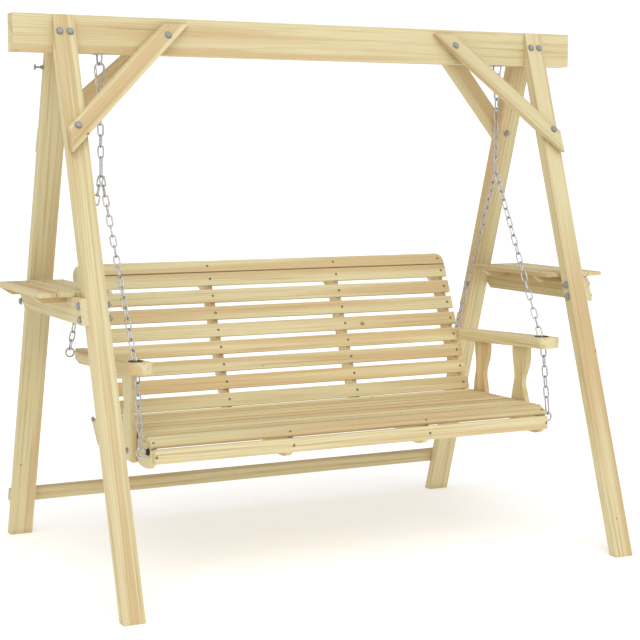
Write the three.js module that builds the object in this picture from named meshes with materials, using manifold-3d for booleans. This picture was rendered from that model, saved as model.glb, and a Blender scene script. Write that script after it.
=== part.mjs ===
// A porch swing: a slatted bench hung on chains from a wooden A-frame stand with a tray on each side.
// Millimetres, +Z up. The origin is on the floor under the middle of the top beam; the sitter faces -Y.
// Pieces that come in pairs end in _r at +X and _l at -X, as seen from in front of the swing.
import * as THREE from "three";
import { mergeVertices } from "three/addons/utils/BufferGeometryUtils.js";
import Module from "manifold-3d";

const wasm = await Module();
wasm.setup();

// ---------------------------------------------------------------- driving dimensions

// The stand.
const STAND_HEIGHT = 1800;
const STAND_HALF_WIDTH = 913; // to the outer faces of the legs
const BEAM_OVERHANG = 126; // beyond the legs, each end
const BEAM_DEPTH = 60;
const BEAM_HEIGHT = 118;
const LEG_THICKNESS = 39; // level, front to back
const FRONT_LEG_WIDTH = 68;
const REAR_LEG_WIDTH = 80;
const FOOT_REACH = 635.5; // from the middle of the stand to the outer edge of a foot
const LEG_TOP_REACH = 33; // the same at the top of the beam
const BRACE_WIDTH = 82.5; // along its level top cut
const BRACE_THICKNESS = 32.2; // level, front to back
const BRACE_RUN = 361; // sideways
const BRACE_DROP = 335.5; // downwards
const BRACE_BELOW_TOP = 17.5;
const BRACE_END_INSET = 6; // from the leg's outer face
const BRACE_OVER_BEAM = 16; // wood left in front of the beam
const BRACE_OVER_LEG = 27; // wood left in front of the leg
const STRETCHER_HEIGHT = 44;
const STRETCHER_DEPTH = 28;
const STRETCHER_LEVEL = 119; // its lower edge, at the leg

// The side trays.
const TRAY_HEIGHT = 944; // to the top of the boards
const TRAY_BOARD = 14;
const TRAY_HALF_LENGTH = 257; // along Y
const TRAY_WIDTH = 235; // along X
const TRAY_BOARDS = 4;
const TRAY_GAP = 1.5; // between boards
const TRAY_INSIDE = 108; // from the legs' outer faces in to the tray's inner edge
const CLEAT_WIDTH = 35;
const CLEAT_HEIGHT = 22;
const CLEAT_OFFSET = 172.5; // from the tray's middle to a cleat's middle
const CLEAT_BEVEL = 33;
const RAIL_THICKNESS = 20;
const RAIL_HEIGHT = 80;
const RAIL_TAIL = 3.8; // the tray rail's rear end, past the rear leg's edge at the rail's top
const RAIL_CLIP = [47, 38]; // the corner sawn off that end: along, and up

// The bench.
const SEAT_HEIGHT = 493; // top of the seat, measured at SEAT_MEASURED_Y
const SEAT_MEASURED_Y = -326;
const SEAT_FALL = 0.01185; // the seat drops this much per unit towards the back
const SLAT_THICKNESS = 18; // seat slats, nosing and apron
const BACK_SLAT_THICKNESS = 12;
const SLAT_WIDTH = 47;
const NOSE_WIDTH = 47.5;
const NOSE_SLOPE = 25; // degrees
const NOSING_INSET = 0.5; // each end, from the end rails' outer faces
const APRON_HEIGHT = 44;
const APRON_DROP = 15; // its top below the rails' tops
const APRON_INSET = 5.5;
const SEAT_SLATS = 8; // behind the nosing
const SEAT_PITCH = 56.2;
const SEAT_SLAT_WIDTH = 48;
const SEAT_SLAT_INSET = 3.5;
const SEAT_FRONT = -320; // front edge of the first slat
const RAIL_NOSE = 56; // how far the rails reach ahead of it
const BACK_SLATS = 9;
const BACK_PITCH = 63.4;
const BACK_SLAT_INSET = 5;
const BACK_LEAN = 22.95; // degrees from upright
const BACK_FOOT = [129.3, 38.8]; // middle of the lowest slat's front face: y, and z above the rails
const TOP_SLAT_GAP = 5;
const TOP_SLAT_LEAN = 40;
const TOP_SLAT_CORNER = 25;
const PLANK = 18; // rails, uprights and posts
const UPRIGHT_DEPTH = 58;
const UPRIGHT_FOOT = 85; // below the rails' tops
const MID_RAIL = 251.5; // middle rails, from the centre
const ARM_WIDTH = 80.5;
const ARM_THICKNESS = 38;
const ARM_FALL = 0.0455;
const ARM_TOP = 254; // above the rails, measured at ARM_MEASURED_Y
const ARM_MEASURED_Y = -356;
const ARM_FRONT = -372;
const ARM_REAR = 328;
const ARM_TAPER_FROM = 150;
const ARM_TAPER = 44;
const ARM_CORNER = 25;
const ARM_REAR_CORNER = 12;
const POST_FOOT = 77; // below the rails' tops
// Each post's front and rear edges: height above the rails, and distance from the post's middle.
const FRONT_POST = {
  middle: -208,
  front: [[16, 39], [44, 28], [66, 8], [85, -1], [103, -2], [126, 3], [140, 14], [154, 38], [168, 46]],
  rear: [[16, 54], [52, 46], [89, 32], [107, 30], [144, 34], [181, 45]],
};
const REAR_POST = {
  middle: 52,
  front: [[13, 34], [44, 25], [64, 13], [82, 8], [100, 9], [122, 19], [136, 32], [150, 42], [164, 44]],
  rear: [[13, 46], [49, 40], [85, 26], [103, 24], [139, 29], [172, 38]],
};
const GROMMET_Y = -308;
const GROMMET_HOLE = [14, 21]; // half sizes, across and along the arm
const GROMMET_WALL = 2;
const GROMMET_FLANGE = [23, 28];
const GROMMET_LIP = 3;

// The hanging hardware.
const CHAIN_PITCH = 35;
const CHAIN_WIRE = 5;
const LINK_WIDTH = 20;
const LONG_LINK = 61.5; // inside length of the link that carries both chains
const LONG_LINK_WIDTH = 25;
const RING_WIRE = 6;
const RING_DIAMETER = 35;
const HOOK_WIRE = 7;
const HOOK_WIDTH = 36;
const HOOK_LENGTH = 86.4; // inside
const LOOP_DROP = 36; // from the hook plate down to the bottom of its loop
const LOOP_WIDTH = 54;
const LOOP_LENGTH = 60; // inside, with the end that is let into the plate
const HOOK_PLATE = [28, 56, 3];
const HANG_INSET = 39; // the chains' plane, in from the arms' outer edges
const EYE_BOLT = [-350, 25.5]; // front eyes: y, and z below the rails' tops
const EYE_BOLT_REACH = 24.5; // out from the end rail
const REAR_EYE = [300, 213]; // y, and z above the rails' tops
const REAR_EYE_REACH = 19.5; // out from the arm's edge
const LAST_LINK = 58; // inside length of the link at the front eye
const WASHER_DIAMETER = 20;
const WASHER_THICKNESS = 2;
const NUT_WIDTH = 15;
const NUT_THICKNESS = 7;
const SPLIT_LEVEL = 1291.5; // where the front and rear chains part, at nominal height

// Clearances.
const FIT = 0.3; // between pieces that touch
const LINK_BITE = 0.3; // how far touching links of one chain sink into each other, each
const PIVOT_GAP = 0.4; // hook in its loop
const SPLIT_GAP = 1.3; // chains over the long link
const SPLIT_SIDE = 4.1; // each chain to its side of the long link's middle
const TRAY_CLEARANCE = 15; // between the arm and the tray

// ---------------------------------------------------------------- derived sizes

const beamHalfDepth = BEAM_DEPTH / 2;
const beamUnderside = STAND_HEIGHT - BEAM_HEIGHT;
const legSlope = (FOOT_REACH - LEG_TOP_REACH) / STAND_HEIGHT;
const trayInnerX = STAND_HALF_WIDTH - TRAY_INSIDE;
const armOuterX = trayInnerX - TRAY_CLEARANCE;
const armInnerX = armOuterX - ARM_WIDTH;
const railOuterX = armInnerX + PLANK;
const hangX = armOuterX - HANG_INSET;
const railTop = SEAT_HEIGHT - SLAT_THICKNESS;
const lean = THREE.MathUtils.degToRad(BACK_LEAN);
const topLean = THREE.MathUtils.degToRad(TOP_SLAT_LEAN);
const armTopZ = (y) => railTop + ARM_TOP - ARM_FALL * (y - ARM_MEASURED_Y);
const seatTopZ = (y) => SEAT_HEIGHT - SEAT_FALL * (y - SEAT_MEASURED_Y);
const armEdgeX = (y) => {
  return armOuterX - (ARM_TAPER * Math.max(0, y - ARM_TAPER_FROM)) / (ARM_REAR - ARM_TAPER_FROM);
};

// ---------------------------------------------------------------- outlines and solids

// An outline through [u, v] points; a third number rounds that corner.
function outline(points) {
  const shape = new THREE.Shape();
  const at = (i) => new THREE.Vector2(...points[(i + points.length) % points.length].slice(0, 2));
  points.forEach(([, , radius = 0], i) => {
    const here = at(i);
    const back = at(i - 1).sub(here).normalize();
    const ahead = at(i + 1).sub(here).normalize();
    const half = back.angleTo(ahead) / 2;
    const reach = radius / Math.tan(half);
    const start = here.clone().addScaledVector(back, reach);
    if (i === 0) shape.moveTo(start.x, start.y);
    else shape.lineTo(start.x, start.y);
    if (radius === 0) return;
    const end = here.clone().addScaledVector(ahead, reach);
    const centre = back.clone().add(ahead).normalize().multiplyScalar(radius / Math.sin(half)).add(here);
    const from = Math.atan2(start.y - centre.y, start.x - centre.x);
    const to = Math.atan2(end.y - centre.y, end.x - centre.x);
    shape.absarc(centre.x, centre.y, radius, from, to, back.cross(ahead) > 0);
  });
  return shape;
}

// The three ways an outline stands: seen from the side, from the front, and from above.
const ALONG_X = new THREE.Matrix4().set(0, 0, 1, 0, 1, 0, 0, 0, 0, 1, 0, 0, 0, 0, 0, 1);
const ALONG_Y = new THREE.Matrix4().set(1, 0, 0, 0, 0, 0, -1, 0, 0, 1, 0, 0, 0, 0, 0, 1);
const ALONG_Z = new THREE.Matrix4();

// A board cut to an outline, from one coordinate to another along its thickness.
function board(shape, from, to, way, curveSegments = 4) {
  const geometry = new THREE.ExtrudeGeometry(shape, {
    depth: to - from,
    bevelEnabled: false,
    curveSegments,
  });
  const start = way === ALONG_Y ? -to : from;
  geometry.translate(0, 0, start);
  return geometry.applyMatrix4(way);
}

function boxBetween([x0, y0, z0], [x1, y1, z1]) {
  const geometry = new THREE.BoxGeometry(x1 - x0, y1 - y0, z1 - z0);
  return geometry.translate((x0 + x1) / 2, (y0 + y1) / 2, (z0 + z1) / 2);
}

function rodAlongX(diameter, x0, x1, y, z, sides = 12) {
  const geometry = new THREE.CylinderGeometry(diameter / 2, diameter / 2, x1 - x0, sides);
  return geometry.rotateZ(Math.PI / 2).translate((x0 + x1) / 2, y, z);
}

function solidOf(geometry) {
  const bare = new THREE.BufferGeometry();
  bare.setAttribute("position", geometry.getAttribute("position"));
  bare.setIndex(geometry.index);
  const merged = mergeVertices(bare, 1e-4);
  const mesh = new wasm.Mesh({
    numProp: 3,
    vertProperties: merged.getAttribute("position").array,
    triVerts: new Uint32Array(merged.index.array),
  });
  return new wasm.Manifold(mesh);
}

function geometryOf(solid) {
  const mesh = solid.getMesh();
  const geometry = new THREE.BufferGeometry();
  geometry.setAttribute("position", new THREE.BufferAttribute(mesh.vertProperties, 3));
  geometry.setIndex(new THREE.BufferAttribute(mesh.triVerts, 1));
  const flat = geometry.toNonIndexed();
  flat.computeVertexNormals();
  return flat;
}

const join = (...geometries) => geometryOf(geometries.map(solidOf).reduce((a, b) => a.add(b)));
const cut = (geometry, ...tools) => {
  return geometryOf(tools.map(solidOf).reduce((a, b) => a.subtract(b), solidOf(geometry)));
};

// ---------------------------------------------------------------- links and chains

// A wire ring drawn out into a link: long axis X, width along Y. Its ends are bars square to X.
function linkGeometry(innerLength, width, wire, corners = 8, sides = 4) {
  const half = Math.PI / corners;
  const radius = (width / Math.cos(half) - wire) / 2;
  const geometry = new THREE.TorusGeometry(radius, wire / 2, sides, corners);
  geometry.rotateZ(half);
  const pull = innerLength / 2 - (radius - wire / 2) * Math.cos(half);
  const at = geometry.getAttribute("position");
  for (let i = 0; i < at.count; i++) {
    at.setX(i, at.getX(i) + Math.sign(at.getX(i)) * pull);
  }
  return geometry;
}

// Points where the links of a straight run touch each other.
function linkStops(from, to) {
  const count = Math.round(from.distanceTo(to) / CHAIN_PITCH);
  return Array.from({ length: count }, (_, i) => from.clone().lerp(to, (i + 1) / count));
}

// Links between the stops, each a quarter turn on from the last. A turn of 0 lays a link's width along Y.
// What is left over to reach the last link's turn is shared out as a gentle twist.
function chainLinks(stops, firstTurn, lastTurn, widths = {}) {
  const count = stops.length - 1;
  const unturned = firstTurn + (count - 1) * 90;
  const leftOver = ((((lastTurn - unturned) % 180) + 270) % 180) - 90;
  return Array.from({ length: count }, (_, i) => {
    const along = stops[i + 1].clone().sub(stops[i]);
    const length = along.length();
    along.normalize();
    const level = new THREE.Vector3(0, 1, 0).addScaledVector(along, -along.y).normalize();
    const turn = THREE.MathUtils.degToRad(firstTurn + i * 90 + (leftOver * i) / (count - 1));
    const across = level.applyAxisAngle(along, turn);
    const facing = along.clone().cross(across);
    const middle = stops[i].clone().lerp(stops[i + 1], 0.5);
    const width = widths[i] ?? LINK_WIDTH;
    const place = new THREE.Matrix4().makeBasis(along, across, facing).setPosition(middle);
    return linkGeometry(length - 2 * LINK_BITE, width, CHAIN_WIRE).applyMatrix4(place);
  });
}

// A closed eye with its ring upright and facing -Y, its shank running towards the centre of the bench.
function eye(x, y, z, shankEnd) {
  const radius = (RING_DIAMETER - RING_WIRE) / 2;
  const ring = new THREE.TorusGeometry(radius, RING_WIRE / 2, 6, 12).rotateX(Math.PI / 2);
  const shank = rodAlongX(RING_WIRE + 1, shankEnd, x - radius, y, z, 8);
  return [ring.translate(x, y, z), shank];
}

// ---------------------------------------------------------------- materials and groups

const wood = (color) => new THREE.MeshStandardMaterial({ color, roughness: 0.62, metalness: 0 });
const standWood = wood(0xe6d9a4);
const benchWood = wood(0xe9dcab);
const steel = new THREE.MeshStandardMaterial({ color: 0xa8aaac, roughness: 0.38, metalness: 1 });
const blackPlastic = new THREE.MeshStandardMaterial({ color: 0x17181a, roughness: 0.45, metalness: 0 });

const swing = new THREE.Group();
const frame = new THREE.Group();
const hangers = new THREE.Group();
const bench = new THREE.Group();
swing.add(frame, hangers, bench);

function add(group, name, geometry, material) {
  const mesh = new THREE.Mesh(geometry, material);
  mesh.name = name;
  group.add(mesh);
  return mesh;
}

// A piece at +X and its mirror image at -X.
function addPair(group, name, geometry, material) {
  add(group, name + "_r", geometry, material);
  add(group, name + "_l", geometry, material).scale.x = -1;
}

// ---------------------------------------------------------------- the stand

const beamHalf = STAND_HALF_WIDTH + BEAM_OVERHANG;
const beamBox = (clear) => {
  const low = [-beamHalf, -beamHalfDepth - clear, beamUnderside - clear];
  return boxBetween(low, [beamHalf, beamHalfDepth + clear, STAND_HEIGHT + clear]);
};
add(frame, "top_beam", beamBox(0), standWood);

// A leg leans in until its inner face meets the beam, then runs up the beam's side.
// facing is -1 for a front leg and 1 for a rear leg.
function legBoard(facing, width, clear = 0) {
  const innerFoot = FOOT_REACH - LEG_THICKNESS;
  const meets = (innerFoot - beamHalfDepth) / legSlope;
  const points = [
    [FOOT_REACH + clear, 0],
    [innerFoot - clear, 0],
    [beamHalfDepth - clear, meets],
    [beamHalfDepth - clear, STAND_HEIGHT],
    [LEG_TOP_REACH + clear, STAND_HEIGHT],
  ];
  const shape = outline(points.map(([y, z]) => [facing * y, z]));
  return board(shape, STAND_HALF_WIDTH - width - clear, STAND_HALF_WIDTH + clear, ALONG_X);
}
addPair(frame, "front_leg", legBoard(-1, FRONT_LEG_WIDTH), standWood);
addPair(frame, "rear_leg", legBoard(1, REAR_LEG_WIDTH), standWood);

// A brace lies across the corner of beam and leg and is notched over both.
function braceBoard(facing, legWidth) {
  const top = STAND_HEIGHT - BRACE_BELOW_TOP;
  const endX = STAND_HALF_WIDTH - BRACE_END_INSET;
  const startX = endX - BRACE_RUN;
  const steepness = BRACE_DROP / BRACE_RUN;
  const shape = outline([
    [startX - BRACE_WIDTH, top],
    [startX, top],
    [endX, top - BRACE_DROP],
    [endX, top - BRACE_DROP - BRACE_WIDTH * steepness],
  ]);
  const faceAtTop = beamHalfDepth + BRACE_OVER_BEAM;
  const faceAtLeg = LEG_TOP_REACH + legSlope * (BRACE_DROP + BRACE_BELOW_TOP) + BRACE_OVER_LEG;
  const slope = (faceAtLeg - faceAtTop) / BRACE_DROP;
  const near = facing * (faceAtTop - BRACE_THICKNESS);
  const far = facing * faceAtTop;
  const blank = board(shape, Math.min(near, far), Math.max(near, far), ALONG_Y);
  const leaning = new THREE.Matrix4().makeShear(0, 0, 0, 0, 0, -facing * slope);
  const level = new THREE.Matrix4().makeTranslation(0, facing * slope * top, 0);
  blank.applyMatrix4(leaning).applyMatrix4(level);
  return cut(blank, beamBox(FIT), legBoard(facing, legWidth, FIT));
}
addPair(frame, "front_brace", braceBoard(-1, FRONT_LEG_WIDTH), standWood);
addPair(frame, "rear_brace", braceBoard(1, REAR_LEG_WIDTH), standWood);

// The stretcher lies on the back faces of the rear legs, near their feet.
const legAngle = Math.atan(legSlope);
const legUp = new THREE.Vector2(-Math.sin(legAngle), Math.cos(legAngle));
const legOut = new THREE.Vector2(Math.cos(legAngle), Math.sin(legAngle));
const stretcherFoot = new THREE.Vector2(FOOT_REACH - legSlope * STRETCHER_LEVEL, STRETCHER_LEVEL);
stretcherFoot.addScaledVector(legOut, FIT);
const stretcherCorner = (out, up) => {
  return stretcherFoot.clone().addScaledVector(legOut, out).addScaledVector(legUp, up).toArray();
};
const stretcherShape = outline([
  stretcherCorner(0, 0),
  stretcherCorner(STRETCHER_DEPTH, 0),
  stretcherCorner(STRETCHER_DEPTH, STRETCHER_HEIGHT),
  stretcherCorner(0, STRETCHER_HEIGHT),
]);
const stretcher = board(stretcherShape, -STAND_HALF_WIDTH, STAND_HALF_WIDTH, ALONG_X);
add(frame, "rear_stretcher", stretcher, standWood);

// ---------------------------------------------------------------- the side trays

const railTopZ = TRAY_HEIGHT - TRAY_BOARD;
const railBottomZ = railTopZ - RAIL_HEIGHT;
const cleatLevels = [-CLEAT_OFFSET, CLEAT_OFFSET];

// The rail is bolted to the outside of both legs; its front end is flush with the front leg.
const legFrontY = (z) => -FOOT_REACH + legSlope * z;
const railRear = RAIL_TAIL - legFrontY(railTopZ);
const railShape = outline([
  [legFrontY(railBottomZ), railBottomZ],
  [railRear - RAIL_CLIP[0], railBottomZ],
  [railRear, railBottomZ + RAIL_CLIP[1]],
  [railRear, railTopZ],
  [legFrontY(railTopZ), railTopZ],
]);
const railX = STAND_HALF_WIDTH + RAIL_THICKNESS;
const cleatNotches = cleatLevels.map((y) => {
  const half = CLEAT_WIDTH / 2 + FIT;
  const low = [STAND_HALF_WIDTH - 5, y - half, railTopZ - CLEAT_HEIGHT - FIT];
  return boxBetween(low, [railX + 5, y + half, railTopZ + 5]);
});
const trayRail = cut(board(railShape, STAND_HALF_WIDTH, railX, ALONG_X), ...cleatNotches);
addPair(frame, "tray_rail", trayRail, standWood);

// Boards run front to back on two cleats, which drop into the rail.
const trayOuterX = trayInnerX + TRAY_WIDTH;
const trayBoardWidth = (TRAY_WIDTH - (TRAY_BOARDS - 1) * TRAY_GAP) / TRAY_BOARDS;
const trayBoards = Array.from({ length: TRAY_BOARDS }, (_, i) => {
  const x = trayInnerX + i * (trayBoardWidth + TRAY_GAP);
  const low = [x, -TRAY_HALF_LENGTH, railTopZ];
  return boxBetween(low, [x + trayBoardWidth, TRAY_HALF_LENGTH, TRAY_HEIGHT]);
});
const cleatShape = outline([
  [trayInnerX + CLEAT_BEVEL, railTopZ - CLEAT_HEIGHT],
  [trayOuterX - CLEAT_BEVEL, railTopZ - CLEAT_HEIGHT],
  [trayOuterX, railTopZ],
  [trayInnerX, railTopZ],
]);
const cleats = cleatLevels.map((y) => {
  return board(cleatShape, y - CLEAT_WIDTH / 2, y + CLEAT_WIDTH / 2, ALONG_Y);
});
addPair(frame, "side_tray", join(...trayBoards, ...cleats), standWood);

// ---------------------------------------------------------------- hook plates and hangers

// A plate screwed under the beam, with a loop of wire below it.
const [plateX, plateY, plateZ] = HOOK_PLATE;
const plateLow = [hangX - plateX / 2, -plateY / 2, beamUnderside - plateZ];
const plate = boxBetween(plateLow, [hangX + plateX / 2, plateY / 2, beamUnderside]);
const loopBottom = beamUnderside - plateZ - LOOP_DROP;
const loop = linkGeometry(LOOP_LENGTH, LOOP_WIDTH, RING_WIRE, 12, 6);
loop.rotateZ(-Math.PI / 2).rotateX(Math.PI / 2).rotateZ(Math.PI / 2);
loop.translate(hangX, 0, loopBottom + RING_WIRE + LOOP_LENGTH / 2);
const aboveLow = [hangX - 50, -60, beamUnderside];
const insideBeam = boxBetween(aboveLow, [hangX + 50, 60, beamUnderside + 200]);
addPair(frame, "hook_plate", cut(join(plate, loop), insideBeam), steel);

// The snap hook is pear shaped with its wide end up.
const swingLevel = loopBottom + RING_WIRE;
const hookTop = swingLevel + PIVOT_GAP;
const hookBottom = hookTop - HOOK_LENGTH;
const snapHook = linkGeometry(HOOK_LENGTH, HOOK_WIDTH, HOOK_WIRE, 12, 6);
const hookPoints = snapHook.getAttribute("position");
for (let i = 0; i < hookPoints.count; i++) {
  if (hookPoints.getX(i) > 0) hookPoints.setY(i, hookPoints.getY(i) * 0.62);
}
snapHook.rotateY(Math.PI / 2).rotateZ(Math.PI / 2);
snapHook.translate(hangX, 0, (hookTop + hookBottom) / 2);

const splitLevel = SPLIT_LEVEL;
const hangerTop = new THREE.Vector3(hangX, 0, hookBottom);
const longLinkTop = new THREE.Vector3(hangX, 0, splitLevel + LONG_LINK);
const hangerStops = [hangerTop, ...linkStops(hangerTop, longLinkTop)];
hangerStops.push(new THREE.Vector3(hangX, 0, splitLevel));
const lastHanger = hangerStops.length - 2;
const hangerLinks = chainLinks(hangerStops, 0, 0, { [lastHanger]: LONG_LINK_WIDTH });
addPair(hangers, "hanger_chain", join(snapHook, ...hangerLinks), steel);

// ---------------------------------------------------------------- bench rails and uprights

// The nosing slopes down in front of the first slat; its heel is where its underside starts.
const railFront = SEAT_FRONT - RAIL_NOSE;
const noseSlope = THREE.MathUtils.degToRad(NOSE_SLOPE);
const noseRear = new THREE.Vector2(SEAT_FRONT - 15, SEAT_HEIGHT + 1);
const noseDown = new THREE.Vector2(-Math.cos(noseSlope), -Math.sin(noseSlope));
const noseUnder = new THREE.Vector2(Math.sin(noseSlope), -Math.cos(noseSlope));
const nosePoint = (along, deep) => {
  return noseRear.clone().addScaledVector(noseDown, along).addScaledVector(noseUnder, deep).toArray();
};
const noseHeel = new THREE.Vector2(...nosePoint(0, SLAT_THICKNESS));

// A plank on edge with a straight top under the slats and a scrolled underside.
function railOutline(grow = 0) {
  const top = (y) => seatTopZ(y) - SLAT_THICKNESS - FIT + grow;
  const steep = Math.tan(noseSlope);
  const underNose = (y) => noseHeel.y + (y - noseHeel.x) * steep - FIT * 1.2 + grow;
  const noseBack = (top(0) - underNose(0)) / (steep + SEAT_FALL);
  const shape = new THREE.Shape();
  shape.moveTo(railFront - grow, underNose(railFront));
  shape.lineTo(railFront - grow, railTop - 57 - grow);
  const underside = [
    [-345, -79],
    [-300, -82],
    [-256, -78],
    [-190, -60],
    [-110, -45],
    [-30, -47],
    [50, -73],
    [105, -89],
    [148, -86],
    [179, -52],
  ];
  shape.splineThru(underside.map(([y, z]) => new THREE.Vector2(y, railTop + z - grow)));
  shape.lineTo(212 + grow, railTop - 12);
  shape.lineTo(213 + grow, top(213));
  shape.lineTo(noseBack, top(noseBack));
  return shape;
}

// The back's front face, measured up the lean from the lowest slat's middle.
const up = new THREE.Vector2(Math.sin(lean), Math.cos(lean));
const behind = new THREE.Vector2(Math.cos(lean), -Math.sin(lean));
const backFoot = new THREE.Vector2(BACK_FOOT[0], railTop + BACK_FOOT[1]);
const onBack = (along, deep) => {
  return backFoot.clone().addScaledVector(up, along).addScaledVector(behind, deep);
};
const topUp = new THREE.Vector2(Math.sin(topLean), Math.cos(topLean));
const topBehind = new THREE.Vector2(Math.cos(topLean), -Math.sin(topLean));
const lastSlatTop = (BACK_SLATS - 2) * BACK_PITCH + SLAT_WIDTH / 2;
const topSlatFoot = onBack(lastSlatTop + TOP_SLAT_GAP, 0);
const onTopSlat = (along, deep) => {
  return topSlatFoot.clone().addScaledVector(topUp, along).addScaledVector(topBehind, deep);
};

// A leaning plank behind the slats, ending in a head that curls back.
function uprightOutline(grow = 0) {
  const front = BACK_SLAT_THICKNESS + FIT + 0.2 - grow;
  const back = front + UPRIGHT_DEPTH + 2 * grow;
  const atLevel = (deep, z) => onBack((z - onBack(0, deep).y) / up.y, deep);
  const crest = onTopSlat(SLAT_WIDTH, front);
  const curl = [
    [24, 3],
    [46, 0],
    [74, -8],
    [95, -22],
    [104, -43],
    [92, -65],
    [66, -76],
    [38, -91],
  ];
  const shape = new THREE.Shape();
  const toe = atLevel(front, railTop - UPRIGHT_FOOT);
  shape.moveTo(toe.x, toe.y);
  const neck = onBack(lastSlatTop, front);
  shape.lineTo(neck.x, neck.y);
  shape.lineTo(crest.x, crest.y);
  const nape = atLevel(back, crest.y - 118);
  const head = curl.map(([y, z]) => new THREE.Vector2(crest.x + y, crest.y + z));
  shape.splineThru([...head, nape]);
  const heel = atLevel(back, railTop - 54);
  shape.lineTo(heel.x, heel.y);
  shape.lineTo(150 + grow, railTop - UPRIGHT_FOOT);
  return shape;
}

const eyeBoltY = EYE_BOLT[0];
const eyeBoltZ = railTop - EYE_BOLT[1];
const eyeHole = rodAlongX(RING_WIRE + 2, armInnerX - 5, railOuterX + 5, eyeBoltY, eyeBoltZ, 12);
const endRail = board(railOutline(), armInnerX, railOuterX, ALONG_X, 2);
addPair(bench, "seat_rail_end", cut(endRail, eyeHole), benchWood);
const endUpright = board(uprightOutline(), armInnerX - PLANK, armInnerX, ALONG_X, 2);
addPair(bench, "back_upright_end", endUpright, benchWood);

// In the middle, rail and upright share one plane and are halved over each other.
const midIn = MID_RAIL - PLANK / 2;
const midOut = MID_RAIL + PLANK / 2;
const midRail = board(railOutline(), midIn, midOut, ALONG_X, 2);
const midUpright = board(uprightOutline(), midIn, midOut, ALONG_X, 2);
const railHousing = board(uprightOutline(FIT), MID_RAIL, midOut + 5, ALONG_X, 2);
const uprightHousing = board(railOutline(FIT), midIn - 5, MID_RAIL + FIT, ALONG_X, 2);
addPair(bench, "seat_rail_mid", cut(midRail, railHousing), benchWood);
addPair(bench, "back_upright_mid", cut(midUpright, uprightHousing), benchWood);

// ---------------------------------------------------------------- slats

const backHalf = railOuterX - BACK_SLAT_INSET;
const seatHalf = railOuterX - SEAT_SLAT_INSET;
const seatTilt = -Math.atan(SEAT_FALL);

for (let i = 0; i < SEAT_SLATS; i++) {
  const size = [2 * seatHalf, SEAT_SLAT_WIDTH, SLAT_THICKNESS];
  const slat = add(bench, "seat_slat_" + (i + 1), new THREE.BoxGeometry(...size), benchWood);
  const y = SEAT_FRONT + SEAT_SLAT_WIDTH / 2 + i * SEAT_PITCH;
  slat.position.set(0, y, seatTopZ(y) - SLAT_THICKNESS / 2);
  slat.rotation.x = seatTilt;
}

// The front edge of the seat rolls down over the rails.
const noseShape = outline([
  nosePoint(0, 0),
  [...nosePoint(NOSE_WIDTH, 0), SLAT_THICKNESS / 2.1],
  [...nosePoint(NOSE_WIDTH, SLAT_THICKNESS), SLAT_THICKNESS / 2.1],
  nosePoint(0, SLAT_THICKNESS),
]);
const nosing = board(noseShape, -(railOuterX - NOSING_INSET), railOuterX - NOSING_INSET, ALONG_X, 3);
add(bench, "seat_nosing", nosing, benchWood);

const apronTop = railTop - APRON_DROP;
const apronLow = [-(railOuterX - APRON_INSET), railFront - SLAT_THICKNESS, apronTop - APRON_HEIGHT];
const apronHigh = [railOuterX - APRON_INSET, railFront, apronTop];
add(bench, "front_apron", boxBetween(apronLow, apronHigh), benchWood);

// Back slats lie in the plane of the back; each is placed by its middle and its lean.
function placeSlat(mesh, middle, angle) {
  mesh.position.set(0, middle.x, middle.y);
  mesh.rotation.x = Math.PI / 2 - angle;
}
for (let i = 0; i < BACK_SLATS - 1; i++) {
  const size = [2 * backHalf, SLAT_WIDTH, BACK_SLAT_THICKNESS];
  const slat = add(bench, "back_slat_" + (i + 1), new THREE.BoxGeometry(...size), benchWood);
  placeSlat(slat, onBack(i * BACK_PITCH, BACK_SLAT_THICKNESS / 2), lean);
}
const topSlatShape = outline([
  [-backHalf, -SLAT_WIDTH / 2],
  [backHalf, -SLAT_WIDTH / 2],
  [backHalf, SLAT_WIDTH / 2, TOP_SLAT_CORNER],
  [-backHalf, SLAT_WIDTH / 2, TOP_SLAT_CORNER],
]);
const halfSlat = BACK_SLAT_THICKNESS / 2;
const topBoard = board(topSlatShape, -halfSlat, halfSlat, ALONG_Z);
const topSlat = add(bench, "back_slat_" + BACK_SLATS, topBoard, benchWood);
placeSlat(topSlat, onTopSlat(SLAT_WIDTH / 2, halfSlat), topLean);

// ---------------------------------------------------------------- arms, posts and grommets

// Pieces drawn level over the arm's own plane and then tipped with it.
const tipWithArm = (geometry) => {
  const fall = new THREE.Matrix4().makeShear(0, 0, 0, -ARM_FALL, 0, 0);
  return geometry.applyMatrix4(fall).translate(0, 0, armTopZ(0));
};
const armShape = outline([
  [armInnerX, ARM_FRONT, ARM_CORNER],
  [armOuterX, ARM_FRONT, ARM_CORNER],
  [armOuterX, ARM_TAPER_FROM],
  [armOuterX - ARM_TAPER, ARM_REAR, ARM_REAR_CORNER],
  [armInnerX, ARM_REAR],
]);

const oval = (rx, ry) => new THREE.Shape().absellipse(hangX, GROMMET_Y, rx, ry, 0, 2 * Math.PI);
const ovalTube = (rx, ry) => {
  const shape = oval(rx, ry);
  shape.holes.push(oval(...GROMMET_HOLE));
  return shape;
};
const outerSleeve = GROMMET_HOLE.map((half) => half + GROMMET_WALL);
const grommetHole = board(
  oval(...outerSleeve.map((half) => half + FIT)), -ARM_THICKNESS - 5, 5, ALONG_Z, 8,
);
const sleeveTube = board(ovalTube(...outerSleeve), -ARM_THICKNESS, GROMMET_LIP + FIT, ALONG_Z, 8);
const flangeDisc = board(ovalTube(...GROMMET_FLANGE), FIT, GROMMET_LIP + FIT, ALONG_Z, 8);

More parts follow.
